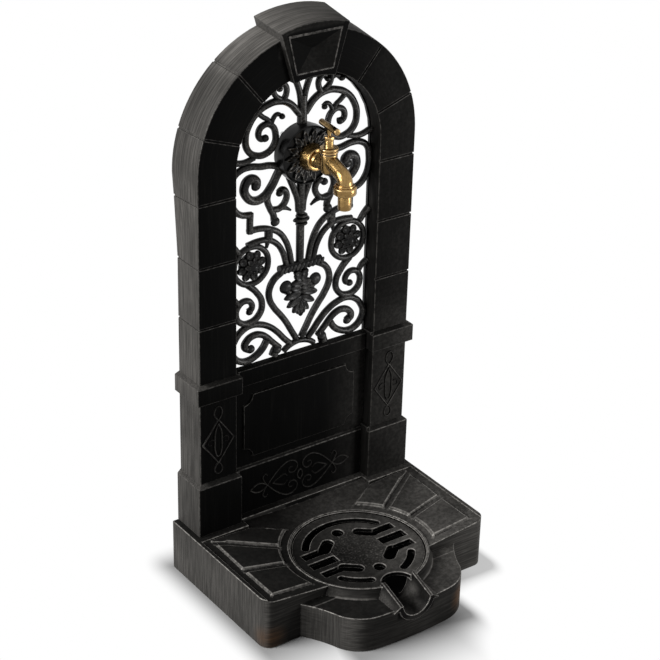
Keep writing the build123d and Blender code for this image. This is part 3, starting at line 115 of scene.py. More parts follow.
# Half width and root of the spout, the share by which its lip falls, and the place of the highlight painted
# inside it
SPOUT_HALF = 37.0 * MM
SPOUT_ROOT = -112.0 * MM
SPOUT_FALL = 0.8
SPOUT_PAINTED_HIGHLIGHT = Vector((0.016, -0.116, 0.042))
# Bounds of the wedge stones: half width, front, back, distance from the grate's centre and height
STONE_HALF = 0.1612
STONE_FRONT = -0.0605
STONE_BACK = 0.075
STONE_INNER = 0.1005
STONE_LOW = 0.0645
# Brown rubs at the foot's left corner and at the right end of its lower step: centre and reach
BROWN_RUBS = (
    (Vector((-0.163, -0.062, 0.014)), 0.026),
    (Vector((0.08, -0.137, 0.024)), 0.026),
)

# Slots that mark the strips of rounded edges, and the wear of plain faces and of those two kinds of strip
WORN_STRIP = 1
STONE_STRIP = 2
STRIP_WEAR = (0.0, 1.0, 0.42)

# Gaps below which vertices are merged, and the angle below which faces count as one, in metres and degrees
MERGE_GAP = 1e-5
FINE_GAP = 1e-6
FLAT_ANGLE = 0.4

# Stage, in metres: the floor and the grey of the shadow painted on it near the foot, the reach of that
# painted shadow, the lamps and what they look at
FLOOR_SIZE = 12.0
FLOOR_DROP = 0.5 * MM
FLOOR_SHADOW_GREY = 0.36
SHADOW_REACH = 0.05
KEY_PLACE = (-2.25, 0.5, 1.3)
KEY_SIZE = 1.6
FILL_PLACE = (1.0, -1.0, 0.3)
FILL_SIZE = 0.5
LAMP_TARGET = Vector((0.0, 0.05, 0.35))
# Camera: width of its sensor in millimetres, and the picture's shift as a share of its width
SENSOR_WIDTH = 36.0
PICTURE_SHIFT = -0.016

# Right half of the scroll drawing, in millimetres from the arch centre: points, first width, last width
SCROLLS = {
    "crown_scroll": (
        [
            (4, 50), (20, 67), (36, 72.5), (51, 71), (66, 64), (78, 50), (83, 33), (79, 17), (67, 8.5),
            (53, 8), (42, 16), (39, 30), (45, 43), (56, 46), (64, 38), (61, 29), (55, 29),
        ],
        9.5, 8.0,
    ),
    "crown_sprig_out": ([(46, 43), (50, 51), (57, 56), (65, 63)], 6.0, 7.0),
    "crown_sprig_in": ([(46, 42), (43, 51), (37, 56), (31, 53)], 6.5, 5.5),
    "top_curl": ([(30, 70), (24, 80), (25, 90), (31, 94), (36, 89)], 8.0, 7.5),
    "top_post": ([(32, 74), (41, 82), (43, 94), (42, 106)], 7.0, 8.0),
    "top_bud": ([(42, 87), (50, 90), (57, 86)], 6.0, 8.0),
    "side_link": ([(70, 6), (88, 3), (107, 8)], 7.0, 9.0),
    "side_c": (
        [
            (33, -13), (48, -8.5), (60, -7.5), (76, -4.5), (91, -6.5), (101.5, -15), (104.5, -28), (104, -43),
            (99, -56), (90, -65), (74, -68.5),
        ],
        9.0, 8.5,
    ),
    "side_post": ([(75.5, -66), (76, -78), (76, -93)], 9.0, 9.0),
    "inner_arm": (
        [(79, -90), (60, -90.5), (45, -95), (32, -103), (23, -115), (17, -130), (12.5, -152)], 8.5, 8.0,
    ),
    "side_spiral": (
        [
            (30, -13), (36, -23), (44.5, -37), (55, -48), (69, -51), (81, -43), (84.5, -30), (77, -21),
            (68, -24), (67, -31),
        ],
        10.5, 12.5,
    ),
    "curl_stalk": ([(47, -40), (50.5, -54), (46, -67), (41, -77), (40, -84)], 8.5, 9.0),
    "curl": ([(43, -69), (32, -69.5), (23.5, -62), (22, -51.5), (28, -45), (34, -48)], 8.5, 8.5),
    "curl_leaf": ([(31, -68), (23, -71), (15, -76)], 9.0, 3.0),
    "leg": ([(18, -31), (10, -50), (5, -64), (3.5, -80)], 9.0, 8.0),
    "outer_arm": (
        [(20, -152), (28, -128), (37, -116), (50, -108.5), (65, -107), (80, -109)], 8.0, 8.0,
    ),
    "arm_block": ([(48, -108), (48, -93)], 11.0, 11.0),
    "arm_drop": ([(49, -108), (51, -119)], 8.0, 4.0),
    "flower_link": ([(93, -116), (101, -106), (107, -101)], 8.0, 10.0),
    "lower_s": (
        [
            (79, -164), (66, -177), (57.5, -194), (61, -209), (75, -217.5), (90, -214), (96.5, -202),
            (93, -190), (83, -185), (74, -190), (73, -198), (78, -201),
        ],
        9.0, 8.0,
    ),
    "lower_link": ([(92, -190), (99, -180), (107, -175)], 7.0, 9.0),
    "heart": (
        [
            (28, -159), (40, -167), (46.5, -180), (46, -192), (39, -206), (29, -219), (20.5, -231),
            (12, -246), (4, -260),
        ],
        9.0, 8.8,
    ),
    "corner_c": (
        [
            (14, -264), (22, -256), (33, -243), (46, -231.5), (60, -224.5), (75, -222), (89, -227),
            (99, -238), (103, -250), (99.5, -261), (91, -269), (79, -271.5), (67, -268), (57, -261),
            (49.5, -250),
        ],
        8.4, 9.6,
    ),
    "corner_spiral": (
        [
            (30, -266), (41, -255), (50, -245.5), (58.5, -239.5), (69, -237.5), (79.5, -242), (83.5, -250.5),
            (77, -256),
        ],
        8.4, 10.0,
    ),
    "corner_leaf": ([(31, -262), (37, -268), (39, -275)], 9.0, 13.0),
    "palm_volute": ([(2, -197), (10, -193), (18, -189), (23, -184)], 8.5, 10.5),
    "bottom_lens": ([(0, -264), (10, -266), (19, -270), (24, -274)], 8.0, 8.0),
    "fork": ([(2, 60), (4, 76), (8.5, 90), (14, 102)], 8.0, 8.4),
}

# Strokes of the middle stem, in the same measure
STEMS = [
    ([(0, -38), (0, -90), (0, -155)], 11.2, 10.4),
    ([(0, -150), (0, -180), (0, -206)], 8.0, 6.4),
    ([(0, 38), (0, 56), (0, 74)], 12.8, 12.0),
]
# Width of a bar at radius 1, the most wear on a bar, and the span in millimetres over which it grows
BAR_WIDTH = 8.0
BAR_WEAR = 0.7
BAR_WEAR_SPAN = 1.6

# Eyes of the scrolls: place and radius
SCROLL_EYES = {
    "stalk_bulb": (40, -85, 7.2),
    "bud_end": (57, 86, 5.0),
    "top_eye": (35.5, 89, 4.6),
    "curl_eye": (34, -47.5, 5.6),
    "side_eye": (69, -30.5, 7.2),
    "crown_eye": (56, 29.5, 5.6),
    "sprig_eye": (31.5, 53, 4.4),
    "s_eye": (78, -200.5, 5.4),
    "corner_eye": (76, -254.5, 6.8),
    "volute_eye": (22.5, -180.5, 10.4),
    "foot_knob": (35.5, -267, 7.6),
}
EYE_HEIGHT = 5.5
# Rounds of the knot on the stem: height from the arch centre, half width, half height
KNOT_ROUNDS = [(-91.0, 13.5, 5.0), (-85.5, 9.5, 4.0), (-96.5, 9.5, 4.0)]
KNOT_HEIGHT = 9.0

# Roll of the vase's rim and the beads of rope on it
ROLL_DROP = 155.0
ROLL_HALF = 32.0
ROLL_WIDTH = 13.0
ROLL_DEEP = 11.0
BEAD_COUNT = 11
BEAD_SPAN = 62.0
BEAD_SHIFT = (-2.8, -5.3)
BEAD_TURN = 62.0

# Flowers: centre from the arch centre, radius of the ring round them, and first turn in steps of a petal
FLOWER_CENTRE = (74.0, -138.0)
FLOWER_RING = 25.5
FLOWER_TURN = 0.3

# Half width and foot of the grille's flat rim, and its section
RIM_HALF = 113.9
RIM_FOOT = 281.0
RIM_SECTION = [(-7.8, -2.0), (7.8, -2.0), (7.8, 2.0), (-7.8, 2.0)]

# Outlines of turned pieces: radius and depth
DRUM_OUTLINE = [
    (33.7, DRUM_BACK_DEPTH), (37.4, DRUM_BACK_DEPTH), (37.6, 33.0), (38.6, 34.0), (38.4, 44.0), (38.2, 45.8),
    (37.4, 46.8), (36.6, 46.2), (36.2, 44.0), (36.2, ROSETTE_BACK_DEPTH), (33.7, ROSETTE_BACK_DEPTH),
    (33.7, DRUM_BACK_DEPTH),
]
FLOWER_OUTLINE = [(0, 26.6), (17, 26.6), (17, 29.0), (10, 32.0), (6.5, 38.0), (4, 41.0), (0, 42.0)]
ROSETTE_OUTLINE = [
    (10.9, ROSETTE_BACK_DEPTH), (35.9, ROSETTE_BACK_DEPTH), (35.9, 44.4), (35.0, 45.0), (10.9, 45.0),
    (10.9, ROSETTE_BACK_DEPTH),
]

# Leaves: length, width, height and hollow, and for the palmette's only the last two
PETAL = (14.5, 13.0, 5.5, 2.4)
INNER_PETAL = (11.0, 8.5, 5.0, 1.8)
EYE = (2.0, 2.0, 1.0, -0.25)
BEAD = (12.0, 5.6, 2.0, 0.2)
ROSETTE_LEAF = (20.5, 9.6, 5.0, 3.2)
INNER_ROSETTE_LEAF = (15.0, 7.2, 5.6, 3.0)
PALM_RISE = (7.5, 1.6)

# Whorls of leaves: distance of their roots from the centre, depth and tilt
PETALS = (7.5, EYE_DEPTH, 0.16)
INNER_PETALS = (2.5, INNER_PETAL_DEPTH, 0.4)
ROSETTE_RING = (16.5, ROSETTE_FACE_DEPTH, -0.03)
INNER_ROSETTE_RING = (14.0, ROSETTE_FACE_DEPTH + 0.6, -0.05)

# Leaves of the palmette: root, direction in degrees, length, width
PALM_LEAVES = [
    ((-1, -168), 24, 14, 11),
    ((-3, -176), 34, 17, 12),
    ((-4, -180), 4, 21, 13),
    ((-2, -187), 10, 21, 13),
    ((-3, -191), -12, 31, 14),
    ((-3, -197), -28, 29, 13),
    ((-3, -203), -48, 24, 13),
    ((-2, -206), -68, 20, 12),
    ((0, -198), -90, 31, 14),
]

# Right half of the heart scrolls on the apron block, from their own centre
APRON_LINES = {
    "heart": (
        [
            (80, 0), (69, 6.2), (60, 5), (53, 0), (45, -8.5), (36, -17), (28, -22.5), (19, -26), (10, -24),
            (4.5, -17.5), (6, -10), (12, -6.5), (18, -9.5), (17, -15), (12, -15),
        ],
        2.6, 2.0,
    ),
    "end_curl": ([(54, 1), (58, 8), (59.5, 14), (55.5, 17.5), (52, 14)], 2.6, 2.0),
    "inner_leaf": ([(44, 0), (35, 5), (25, 7.5), (20, 3)], 2.4, 1.8),
    "centre_tie": ([(0, -8), (3.5, -3), (3.5, 3), (0, 8)], 2.6, 2.6),
}
APRON_LINES_HEIGHT = 106.0

# Lines of the diamond on each pillar, from its own centre
DIAMOND_CORNERS = [(-23, 0), (0, 32), (23, 0), (0, -32)]
DIAMOND_LINES = {
    "top_loop": ([(0, 31), (5, 38), (5.5, 45), (0, 51), (-5.5, 45), (-5, 38), (0, 31)], 2.2, 2.2),
    "foot_loop": ([(0, -31), (5, -38), (5.5, -43), (0, -48), (-5.5, -43), (-5, -38), (0, -31)], 2.2, 2.2),
    "almond": (
        [(0, 26), (4.6, 14), (5.2, 0), (4.6, -14), (0, -22), (-4.6, -14), (-5.2, 0), (-4.6, 14), (0, 26)],
        2.4, 2.4,
    ),
    "curl_right": ([(6, 3), (11, 4.5), (15, 1.5), (14, -3), (10, -3)], 2.0, 1.6),
    "curl_left": ([(-6, 3), (-11, 4.5), (-15, 1.5), (-14, -3), (-10, -3)], 2.0, 1.6),
}
DIAMOND_PLACE = (136.0, 207.0)
DIAMOND_WIDTH = 2.4

# Raised lines: depth of a line one wide, height at which its wear begins, and the span over which it grows
LINE_DEEP = 1.5
LINE_FOOT = 1.3
LINE_SPAN = 0.4


COLOUR = {"subtype": "COLOR", "size": 4, "min": 0.0, "max": 1.0}
FACTOR = {"subtype": "FACTOR", "min": 0.0, "max": 1.0}
ANGLE = {"subtype": "ANGLE", "unit": "ROTATION"}


class FountainFinish(bpy.types.PropertyGroup):
    """Colours and wear of the finishes."""

    paint: FloatVectorProperty(
        name="Paint", description="Colour of the black paint", default=(0.003, 0.003, 0.0029, 1.0), **COLOUR,
    )
    # Colour of the silver wax, which also paints light on the wall and the foot
    rubbed_and_lit: FloatVectorProperty(
        name="Rubbed metal", description="Colour of the silver wax brushed over the edges",
        default=(0.31, 0.295, 0.275, 1.0), **COLOUR,
    )
    rust: FloatVectorProperty(
        name="Brown rub", description="Colour of the brown wax at the foot", default=(0.11, 0.052, 0.02, 1.0),
        **COLOUR,
    )
    brass: FloatVectorProperty(
        name="Brass", description="Colour of the polished brass", default=(0.33, 0.212, 0.082, 1.0), **COLOUR,
    )
    wall_wear: FloatProperty(
        name="Wall wear", description="Share of silver on the edges of the wall", default=0.2, **FACTOR,
    )
    foot_wear: FloatProperty(
        name="Foot wear", description="Share of silver on the edges of the foot", default=0.62, **FACTOR,
    )


class FountainShape(bpy.types.PropertyGroup):
    """Sizes of the dressed pieces."""

    casting_edge: FloatProperty(
        name="Casting edge", description="Width of the soft edge of the castings", unit="LENGTH",
        default=0.9 * MM, min=0.1 * MM, max=3 * MM,
    )
    stone_edge: FloatProperty(
        name="Stone edge", description="Width of the sloping edge of the wedge stones", unit="LENGTH",
        default=2.6 * MM, min=0.5 * MM, max=3.4 * MM,
    )
    brass_edge: FloatProperty(
        name="Brass edge", description="Width of the soft edge of the brass pieces", unit="LENGTH",
        default=0.35 * MM, min=0.05 * MM, max=2 * MM,
    )
    bar_depth: FloatProperty(
        name="Bar depth", description="Depth of a scroll bar of usual width", unit="LENGTH",
        default=8.4 * MM, min=3 * MM, max=15 * MM,
    )
    flower_petals: IntProperty(
        name="Petals", description="Outer petals of each flower", default=8, min=4, max=16,
    )
    rosette_leaves: IntProperty(
        name="Rosette leaves", description="Leaves round the tap's flange", default=14, min=6, max=24,
    )


class FountainStage(bpy.types.PropertyGroup):
    """Camera and light."""

    azimuth: FloatProperty(
        name="Azimuth", description="Turn of the camera from the front",
        default=math.radians(-36.06), **ANGLE,
    )
    elevation: FloatProperty(
        name="Elevation", description="Height angle of the camera", default=math.radians(27.14), **ANGLE,
    )
    roll: FloatProperty(name="Roll", description="Tilt of the camera", default=math.radians(1.46), **ANGLE)
    distance: FloatProperty(
        name="Distance", description="Camera to target", unit="LENGTH", default=2.3561, min=0.5, max=10.0,
    )
    target: FloatVectorProperty(
        name="Target", description="Point the camera looks at", subtype="TRANSLATION", unit="LENGTH",
        default=(0.0, 0.0514, 0.3651),
    )
    lens: FloatProperty(
        name="Lens", description="Focal length in millimetres", default=102.02, min=20.0, max=300.0,
    )
    key_power: FloatProperty(
        name="Key lamp", description="Power of the soft lamp on the left", unit="POWER", default=106.0,
        min=0.0, max=500.0,
    )
    fill_power: FloatProperty(
        name="Fill lamp", description="Power of the small lamp on the right", unit="POWER", default=9.0,
        min=0.0, max=100.0,
    )
    fill: FloatProperty(
        name="Fill", description="Strength of the even light of the room", default=0.12, min=0.0, max=1.0,
    )




def finish_settings():
    """Finish values of the scene."""
    return bpy.context.scene.fountain_finish


def shape_settings():
    """Shape values of the scene."""
    return bpy.context.scene.fountain_shape


def finish_named(name):
    """A finish that was mixed before."""
    return bpy.data.materials[name]


# Small modelling helpers


def clamped(value):
    """A value held between 0 and 1."""
    return max(0.0, min(1.0, value))


def around(centre, radius, turn):
    """Place on a circle at an angle."""
    return (centre[0] + radius * math.cos(turn), centre[1] + radius * math.sin(turn))


def moved(points, across, up):
    """The same stroke at another place."""
    return [(x + across, z + up) for x, z in points]


def mirrored(points):
    """The same stroke on the left half."""
    return [(-x, z) for x, z in points]


def added(name, data):
    """Puts new data into the scene as an object."""
    piece = bpy.data.objects.new(name, data)
    bpy.context.scene.collection.objects.link(piece)
    return piece


def deselect():
    """Leaves edit mode and selects nothing."""
    if bpy.context.mode != "OBJECT":
        bpy.ops.object.mode_set(mode="OBJECT")
    bpy.ops.object.select_all(action="DESELECT")


def only(piece):
    """Selects one object and makes it active."""
    deselect()
    piece.select_set(True)
    bpy.context.view_layer.objects.active = piece


def editing(piece):
    """Opens a piece in edit mode with all of it selected."""
    only(piece)
    bpy.ops.object.mode_set(mode="EDIT")
    bpy.ops.mesh.select_all(action="SELECT")


def closed(piece, gap=FINE_GAP):
    """Merges a piece's doubles and turns its faces outwards."""
    editing(piece)
    bpy.ops.mesh.remove_doubles(threshold=gap)
    bpy.ops.mesh.normals_make_consistent(inside=False)
    bpy.ops.object.mode_set(mode="OBJECT")


def modified(piece, kind, **settings):
    """Adds a modifier and applies it."""
    only(piece)
    modifier = piece.modifiers.new(kind.title(), kind)
    for name, value in settings.items():
        setattr(modifier, name, value)
    bpy.ops.object.modifier_apply(modifier=modifier.name)


def smoothed(piece, angle=32.0):
    """Shades a piece smooth apart from its sharp edges."""
    only(piece)
    bpy.ops.object.shade_smooth_by_angle(angle=math.radians(angle))


def copied(piece, matrix):
    """Copies a piece with its own mesh, moved by a matrix."""
    twin = added(piece.name, piece.data.copy())
    twin.data.transform(matrix)
    return twin


def joined(name, pieces):
    """Joins pieces into one named object."""
    deselect()
    for piece in pieces:
        piece.select_set(True)
    bpy.context.view_layer.objects.active = pieces[0]
    bpy.ops.object.join()
    result = bpy.context.view_layer.objects.active
    result.name = name
    result.data.name = name
    return result


def removed(*pieces):
    """Deletes pieces that were only patterns for copies."""
    for piece in pieces:
        bpy.data.objects.remove(piece)


def dressed(piece, name, finish, body, slot, *nodes):
    """Names a finished piece, gives it its finish and seats it on its body."""
    piece.name = name
    piece.data.name = name
    piece.data.materials.clear()
    piece.data.materials.append(finish_named(finish))
    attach(piece, body)
    if nodes:
        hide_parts(*nodes)


def ornamented(piece, name, angle, finish="grille_paint", nodes=()):
    """Smooths a finished ornament of the wall and dresses it."""
    smoothed(piece, angle)
    dressed(piece, name, finish, "fountain", "black_paint", *nodes)


def noted(piece, wear):
    """Writes each face corner's share of wear where the paint reads it."""
    layer = piece.data.attributes.new("worn", "FLOAT", "CORNER")
    layer.data.foreach_set("value", wear)


def noted_by_place(piece, share):
    """Writes the wear of a piece from a share worked out at each vertex's place."""
    shares = [share(vertex.co) for vertex in piece.data.vertices]
    noted(piece, [shares[corner.vertex_index] for corner in piece.data.loops])


def crest(start, span, most=1.0):
    """Wear of a bar or line: none up to a depth, and the most from a span in front of it."""
    return lambda place: most * clamped(((BACK - place.y) / MM - start) / span)


def outer_edges(piece, angle, chosen):
    """Marks for the bevel the sharp edges that stand out and are chosen by their middle and steeper face."""
    shape = bmesh.new()
    shape.from_mesh(piece.data)
    layers = shape.edges.layers.float
    weight = layers.get("bevel_weight_edge") or layers.new("bevel_weight_edge")
    for edge in shape.edges:
        middle = (edge.verts[0].co + edge.verts[1].co) / 2
        sharp = len(edge.link_faces) == 2 and edge.calc_face_angle_signed() > math.radians(angle)
        edge[weight] = float(sharp and chosen(middle, min(face.normal.z for face in edge.link_faces)))
    shape.to_mesh(piece.data)
    shape.free()


def rounded(piece, width, segments, angle, chosen, strip=WORN_STRIP):
    """Rounds the chosen outer edges of a piece and gives the new strips a material of their own."""
    outer_edges(piece, angle, chosen)
    modified(
        piece, "BEVEL", width=width, segments=segments, limit_method="WEIGHT", material=strip,
        use_clamp_overlap=False, loop_slide=False, harden_normals=False, miter_outer="MITER_ARC",
    )


def softened(node_name, edge, segments=3, angle=24.0, wide=None, smooth=32.0):
    """Copies a CAD node's mesh, merges it, rounds its outer edges and notes them as worn."""
    piece = added(node_name + "_soft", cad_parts[node_name].data.copy())
    only(piece)
    bpy.ops.mesh.customdata_custom_splitnormals_clear()
    editing(piece)
    bpy.ops.mesh.remove_doubles(threshold=MERGE_GAP)
    bpy.ops.mesh.dissolve_limited(angle_limit=math.radians(FLAT_ANGLE))
    bpy.ops.mesh.quads_convert_to_tris(quad_method="BEAUTY", ngon_method="BEAUTY")
    bpy.ops.object.mode_set(mode="OBJECT")
    piece.data.materials.clear()
    # Three slots, so that the bevels can mark their strips
    for name in ("wall_paint", "foot_paint", "grille_paint"):
        piece.data.materials.append(finish_named(name))
    for polygon in piece.data.polygons:
        polygon.material_index = 0
    if wide:
        width, inside = wide
        rounded(piece, width, 1, angle, inside, STONE_STRIP)
        rounded(piece, edge, segments, angle, lambda place, level: level > 0.5 or not inside(place, level))
    else:
        rounded(piece, edge, segments, angle, lambda place, level: True)
    wear = []
    for polygon in piece.data.polygons:
        wear += [STRIP_WEAR[polygon.material_index]] * polygon.loop_total
        polygon.material_index = 0
    noted(piece, wear)
    smoothed(piece, smooth)
    return piece


def profile_curve(points):
    """Closed outline that is swept along strokes, across and forward in millimetres."""
    curve = bpy.data.curves.new("stroke_profile", "CURVE")
    curve.dimensions = "2D"
    spline = curve.splines.new("POLY")
    spline.points.add(len(points) - 1)
    for point, (across, forward) in zip(spline.points, points):
        point.co = (across * MM, forward * MM, 0.0, 1.0)
    spline.use_cyclic_u = True
    return added("stroke_profile", curve)


def round_profile(width, depth, count=14):
    """Oval outline of a swept bar."""
    turns = [2 * math.pi * index / count for index in range(count)]
    return [(width / 2 * math.cos(turn), depth / 2 * math.sin(turn)) for turn in turns]


def swept(name, strokes, outline, depth, handle="AUTO", resolution=8):
    """Sweeps an outline along front-view strokes at a depth before the wall's back."""
    profile = profile_curve(outline)
    curve = bpy.data.curves.new(name, "CURVE")
    curve.dimensions = "2D"
    curve.fill_mode = "NONE"
    curve.resolution_u = resolution
    curve.bevel_mode = "OBJECT"
    curve.bevel_object = profile
    curve.use_fill_caps = True
    for points, first, last, ring in strokes:
        spline = curve.splines.new("BEZIER")
        spline.bezier_points.add(len(points) - 1)
        for index, (point, (x, z)) in enumerate(zip(spline.bezier_points, points)):
            point.co = (x * MM, z * MM, 0.0)
            point.handle_left_type = handle
            point.handle_right_type = handle
            share = index / (len(points) - 1)
            point.radius = first + (last - first) * share
        spline.use_cyclic_u = ring
    piece = added(name, curve)
    piece.rotation_euler.x = math.pi / 2
    piece.location.y = BACK - depth * MM
    only(piece)
    bpy.ops.object.convert(target="MESH")
    piece = bpy.context.view_layer.objects.active
    bpy.ops.object.transform_apply(location=True, rotation=True, scale=True)
    closed(piece)
    removed(profile)
    return piece


def leaf(size, point=0.0, shine=0.5):
    """Models one leaf that lies on the ground plane, its root at the origin and its tip along X."""
    length, width, height, hollow = (value * MM for value in size)
    deselect()
    bpy.ops.mesh.primitive_circle_add(vertices=16, radius=1.0, fill_type="NGON")
    piece = bpy.context.view_layer.objects.active
    middle = (length / 2, 0.0, 0.0)
    editing(piece)
    bpy.ops.transform.resize(value=(length / 2, width / 2, 1.0), center_override=(0.0, 0.0, 0.0))
    bpy.ops.transform.translate(value=middle)
    # Each step rises and then narrows along and across
    for rise, along, across in ((height * 0.6, 0.94, 0.9), (height * 0.4, 0.72, 0.66), (-hollow, 0.6, 0.45)):
        bpy.ops.mesh.extrude_region_move(TRANSFORM_OT_translate={"value": (0.0, 0.0, rise)})
        bpy.ops.transform.resize(value=(along, across, 1.0), center_override=middle)
    bpy.ops.object.mode_set(mode="OBJECT")
    for vertex in piece.data.vertices:
        beyond = max(0.0, vertex.co.x / length - 0.55)
        vertex.co.y *= 1.0 - point * beyond / 0.45
    closed(piece)
    modified(piece, "SUBSURF", levels=1, render_levels=1)
    top = max(vertex.co.z for vertex in piece.data.vertices)
    noted_by_place(piece, lambda place: shine * clamped((place.z / top - 0.84) / 0.12))
    return piece


def facing(x, z, depth, turn=0.0, tilt=0.0):
    """Matrix that stands a ground-plane pattern up on the wall, facing front, turned in the wall's plane."""
    stand = Matrix.Rotation(math.pi / 2, 4, "X")
    spin = Matrix.Rotation(turn, 4, "Z")
    lean = Matrix.Rotation(tilt, 4, "Y")
    place = Matrix.Translation((x * MM, BACK - depth * MM, z * MM))
    return place @ stand @ spin @ lean


def whorl(pattern, count, centre, radius, depth, tilt, start):
    """Copies of a leaf that stand round a centre on the wall, the first at a start in steps."""
    turns = [2 * math.pi * (index + start) / count for index in range(count)]
    return [copied(pattern, facing(*around(centre, radius, turn), depth, turn, tilt)) for turn in turns]


def turned(name, outline, centre, steps=72):
    """Spins an outline of radius and forward depth about a line through a centre along Y, in millimetres."""
    x, z = (value * MM for value in centre)
    points = [(x + radius * MM, BACK - depth * MM, z) for radius, depth in outline]
    edges = [(index, index + 1) for index in range(len(points) - 1)]
    mesh = bpy.data.meshes.new(name)
    mesh.from_pydata(points, edges, [])
    piece = added(name, mesh)
    editing(piece)
    bpy.ops.mesh.spin(steps=steps, angle=2 * math.pi, center=(x, 0.0, z), axis=(0.0, 1.0, 0.0))
    bpy.ops.object.mode_set(mode="OBJECT")
    closed(piece, MERGE_GAP)
    return piece


# Finishes


def worked(kind, swapped=False):
    """A method that adds a Math node on a number and another, which comes first if they are swapped."""

    def method(self, other):
        sockets = {0: other, 1: self} if swapped else {0: self, 1: other}
        return self.nodes.node("ShaderNodeMath", {"operation": kind}, sockets)

    return method


class Amount:
    """A node socket with a number. Arithmetic adds Math nodes; | and & take the larger and the smaller."""

    def __init__(self, nodes, socket):
        self.nodes = nodes
        self.socket = socket

    __add__ = worked("ADD")
    __radd__ = worked("ADD", True)
    __sub__ = worked("SUBTRACT")
    __rsub__ = worked("SUBTRACT", True)
    __mul__ = worked("MULTIPLY")
    __rmul__ = worked("MULTIPLY", True)
    __pow__ = worked("POWER")
    __or__ = worked("MAXIMUM")
    __and__ = worked("MINIMUM")
    # The angle of the direction with this number up and the other across
    turn_to = worked("ARCTAN2")

    def __abs__(self):
        return self.nodes.node("ShaderNodeMath", {"operation": "ABSOLUTE"}, {0: self})

    def between(self, low, high):
        """A soft step from 0 to 1 between two values."""
        sockets = {"Value": self, "From Min": low, "From Max": high}
        return self.nodes.node("ShaderNodeMapRange", {"interpolation_type": "SMOOTHSTEP"}, sockets)


class Nodes:
    """The nodes of a material or a world."""

    def __init__(self, owner):
        owner.use_nodes = True
        self.tree = owner.node_tree

    def node(self, kind, settings, sockets, output=0):
        """Adds a node, sets it up, fills or links its sockets and returns one of its outputs."""
        node = self.tree.nodes.new(kind)
        for name, value in settings.items():
            setattr(node, name, value)
        for key, value in sockets.items():
            if isinstance(value, Amount):
                self.tree.links.new(value.socket, node.inputs[key])
            else:
                node.inputs[key].default_value = value
        return Amount(self, node.outputs[output])


class Finish(Nodes):
    """A material under construction."""

    def __init__(self, name, **constants):
        self.material = bpy.data.materials.new(name)
        super().__init__(self.material)
        self.shader = self.tree.nodes["Principled BSDF"]
        for label, value in constants.items():
            self.shader.inputs[label.replace("_", " ").title().replace("Ior", "IOR")].default_value = value

    def vectors(self, operation, first, second, output=0):
        """Works on two vectors."""
        return self.node("ShaderNodeVectorMath", {"operation": operation}, {0: first, 1: second}, output)

    def coordinates(self):
        """Object coordinates as a vector."""
        return self.node("ShaderNodeTexCoord", {}, {}, "Object")

    def normal(self):
        """The way the surface faces, as a vector."""
        return self.node("ShaderNodeNewGeometry", {}, {}, "Normal")

    def parts(self, vector):
        """The three numbers of a vector."""
        return [self.node("ShaderNodeSeparateXYZ", {}, {0: vector}, axis) for axis in range(3)]

    def where(self):
        """Object coordinates as three numbers."""
        return self.parts(self.coordinates())

    def facing(self):
        """How far the surface faces sideways, along the depth and up, as three numbers."""
        across, along, up = self.parts(self.normal())
        return abs(across), abs(along), up

    def noise_in(self, vector, detail, roughness):
        """Noise from 0 to 1 over a vector."""
        sockets = {"Vector": vector, "Scale": 1.0, "Detail": detail, "Roughness": roughness}
        return self.node("ShaderNodeTexNoise", {}, sockets)

    def noise(self, scale, detail, roughness):
        """Noise from 0 to 1 at a scale along each axis, or at one scale along all."""
        axes = scale if isinstance(scale, tuple) else (scale, scale, scale)
        return self.noise_in(self.vectors("MULTIPLY", self.coordinates(), axes), detail, roughness)

    def near(self, centre, reach):
        """1 at a place and 0 from a distance on."""
        return 1 - self.vectors("DISTANCE", self.coordinates(), centre, "Value").between(0.0, reach)

    def edges(self, radius, low, high):
        """1 along the edges of a shape and 0 on its faces."""
        rounded_normal = self.node("ShaderNodeBevel", {"samples": 6}, {"Radius": radius})
        same = self.vectors("DOT_PRODUCT", rounded_normal, self.normal(), "Value")
        return (1 - same).between(low, high)

    def worn(self):
        """The wear that is noted on the piece."""
        return self.node("ShaderNodeAttribute", {"attribute_name": "worn"}, {}, "Fac")

    def blended(self, share, first, second):
        """Mixes two colours."""
        return self.node("ShaderNodeMix", {"data_type": "RGBA"}, {0: share, 6: first, 7: second}, 2)

    def shaded(self, colour, roughness, metallic, bump, strength, depth):
        """Links what changes over the surface to the shader."""
        normal = self.node("ShaderNodeBump", {}, {"Strength": strength, "Distance": depth, "Height": bump})
        links = {"Base Color": colour, "Roughness": roughness, "Metallic": metallic, "Normal": normal}
        for label, value in links.items():
            if value is not None:
                self.tree.links.new(value.socket, self.shader.inputs[label])
        return self.material


# Bounds of a face's direction between which it comes to count as upright and as level
UPRIGHT = (0.35, 0.75)
LEVEL = (0.5, 0.9)

# Scales of brush streaks across and along the stroke
STREAK_FINE = 620.0
STREAK_LONG = 22.0
ARCH_STREAK_LONG = 16.0

# Bounds in metres: outside the grate's ring, off the grate, off its centre, in the trough and off a worn line
OFF_RING = (0.088, 0.102)
OFF_GRATE = (0.084, 0.088)
OFF_GRATE_CENTRE = (0.036, 0.05)
TROUGH_HALF = 0.031
TROUGH_FLOOR = (0.03, 0.037)
LINE_EDGE = (0.0006, 0.0013)


def from_arch(finish):
    """Distance from the arch's centre, and below it from the middle plane."""
    x, _, z = finish.where()
    above = (z - TAP_HEIGHT) | 0.0
    return (x * x + above * above) ** 0.5


def from_grate(finish):
    """Level distance from the grate's centre."""
    x, y, _ = finish.where()
    away = y - GRATE_CENTRE.y
    return (x * x + away * away) ** 0.5


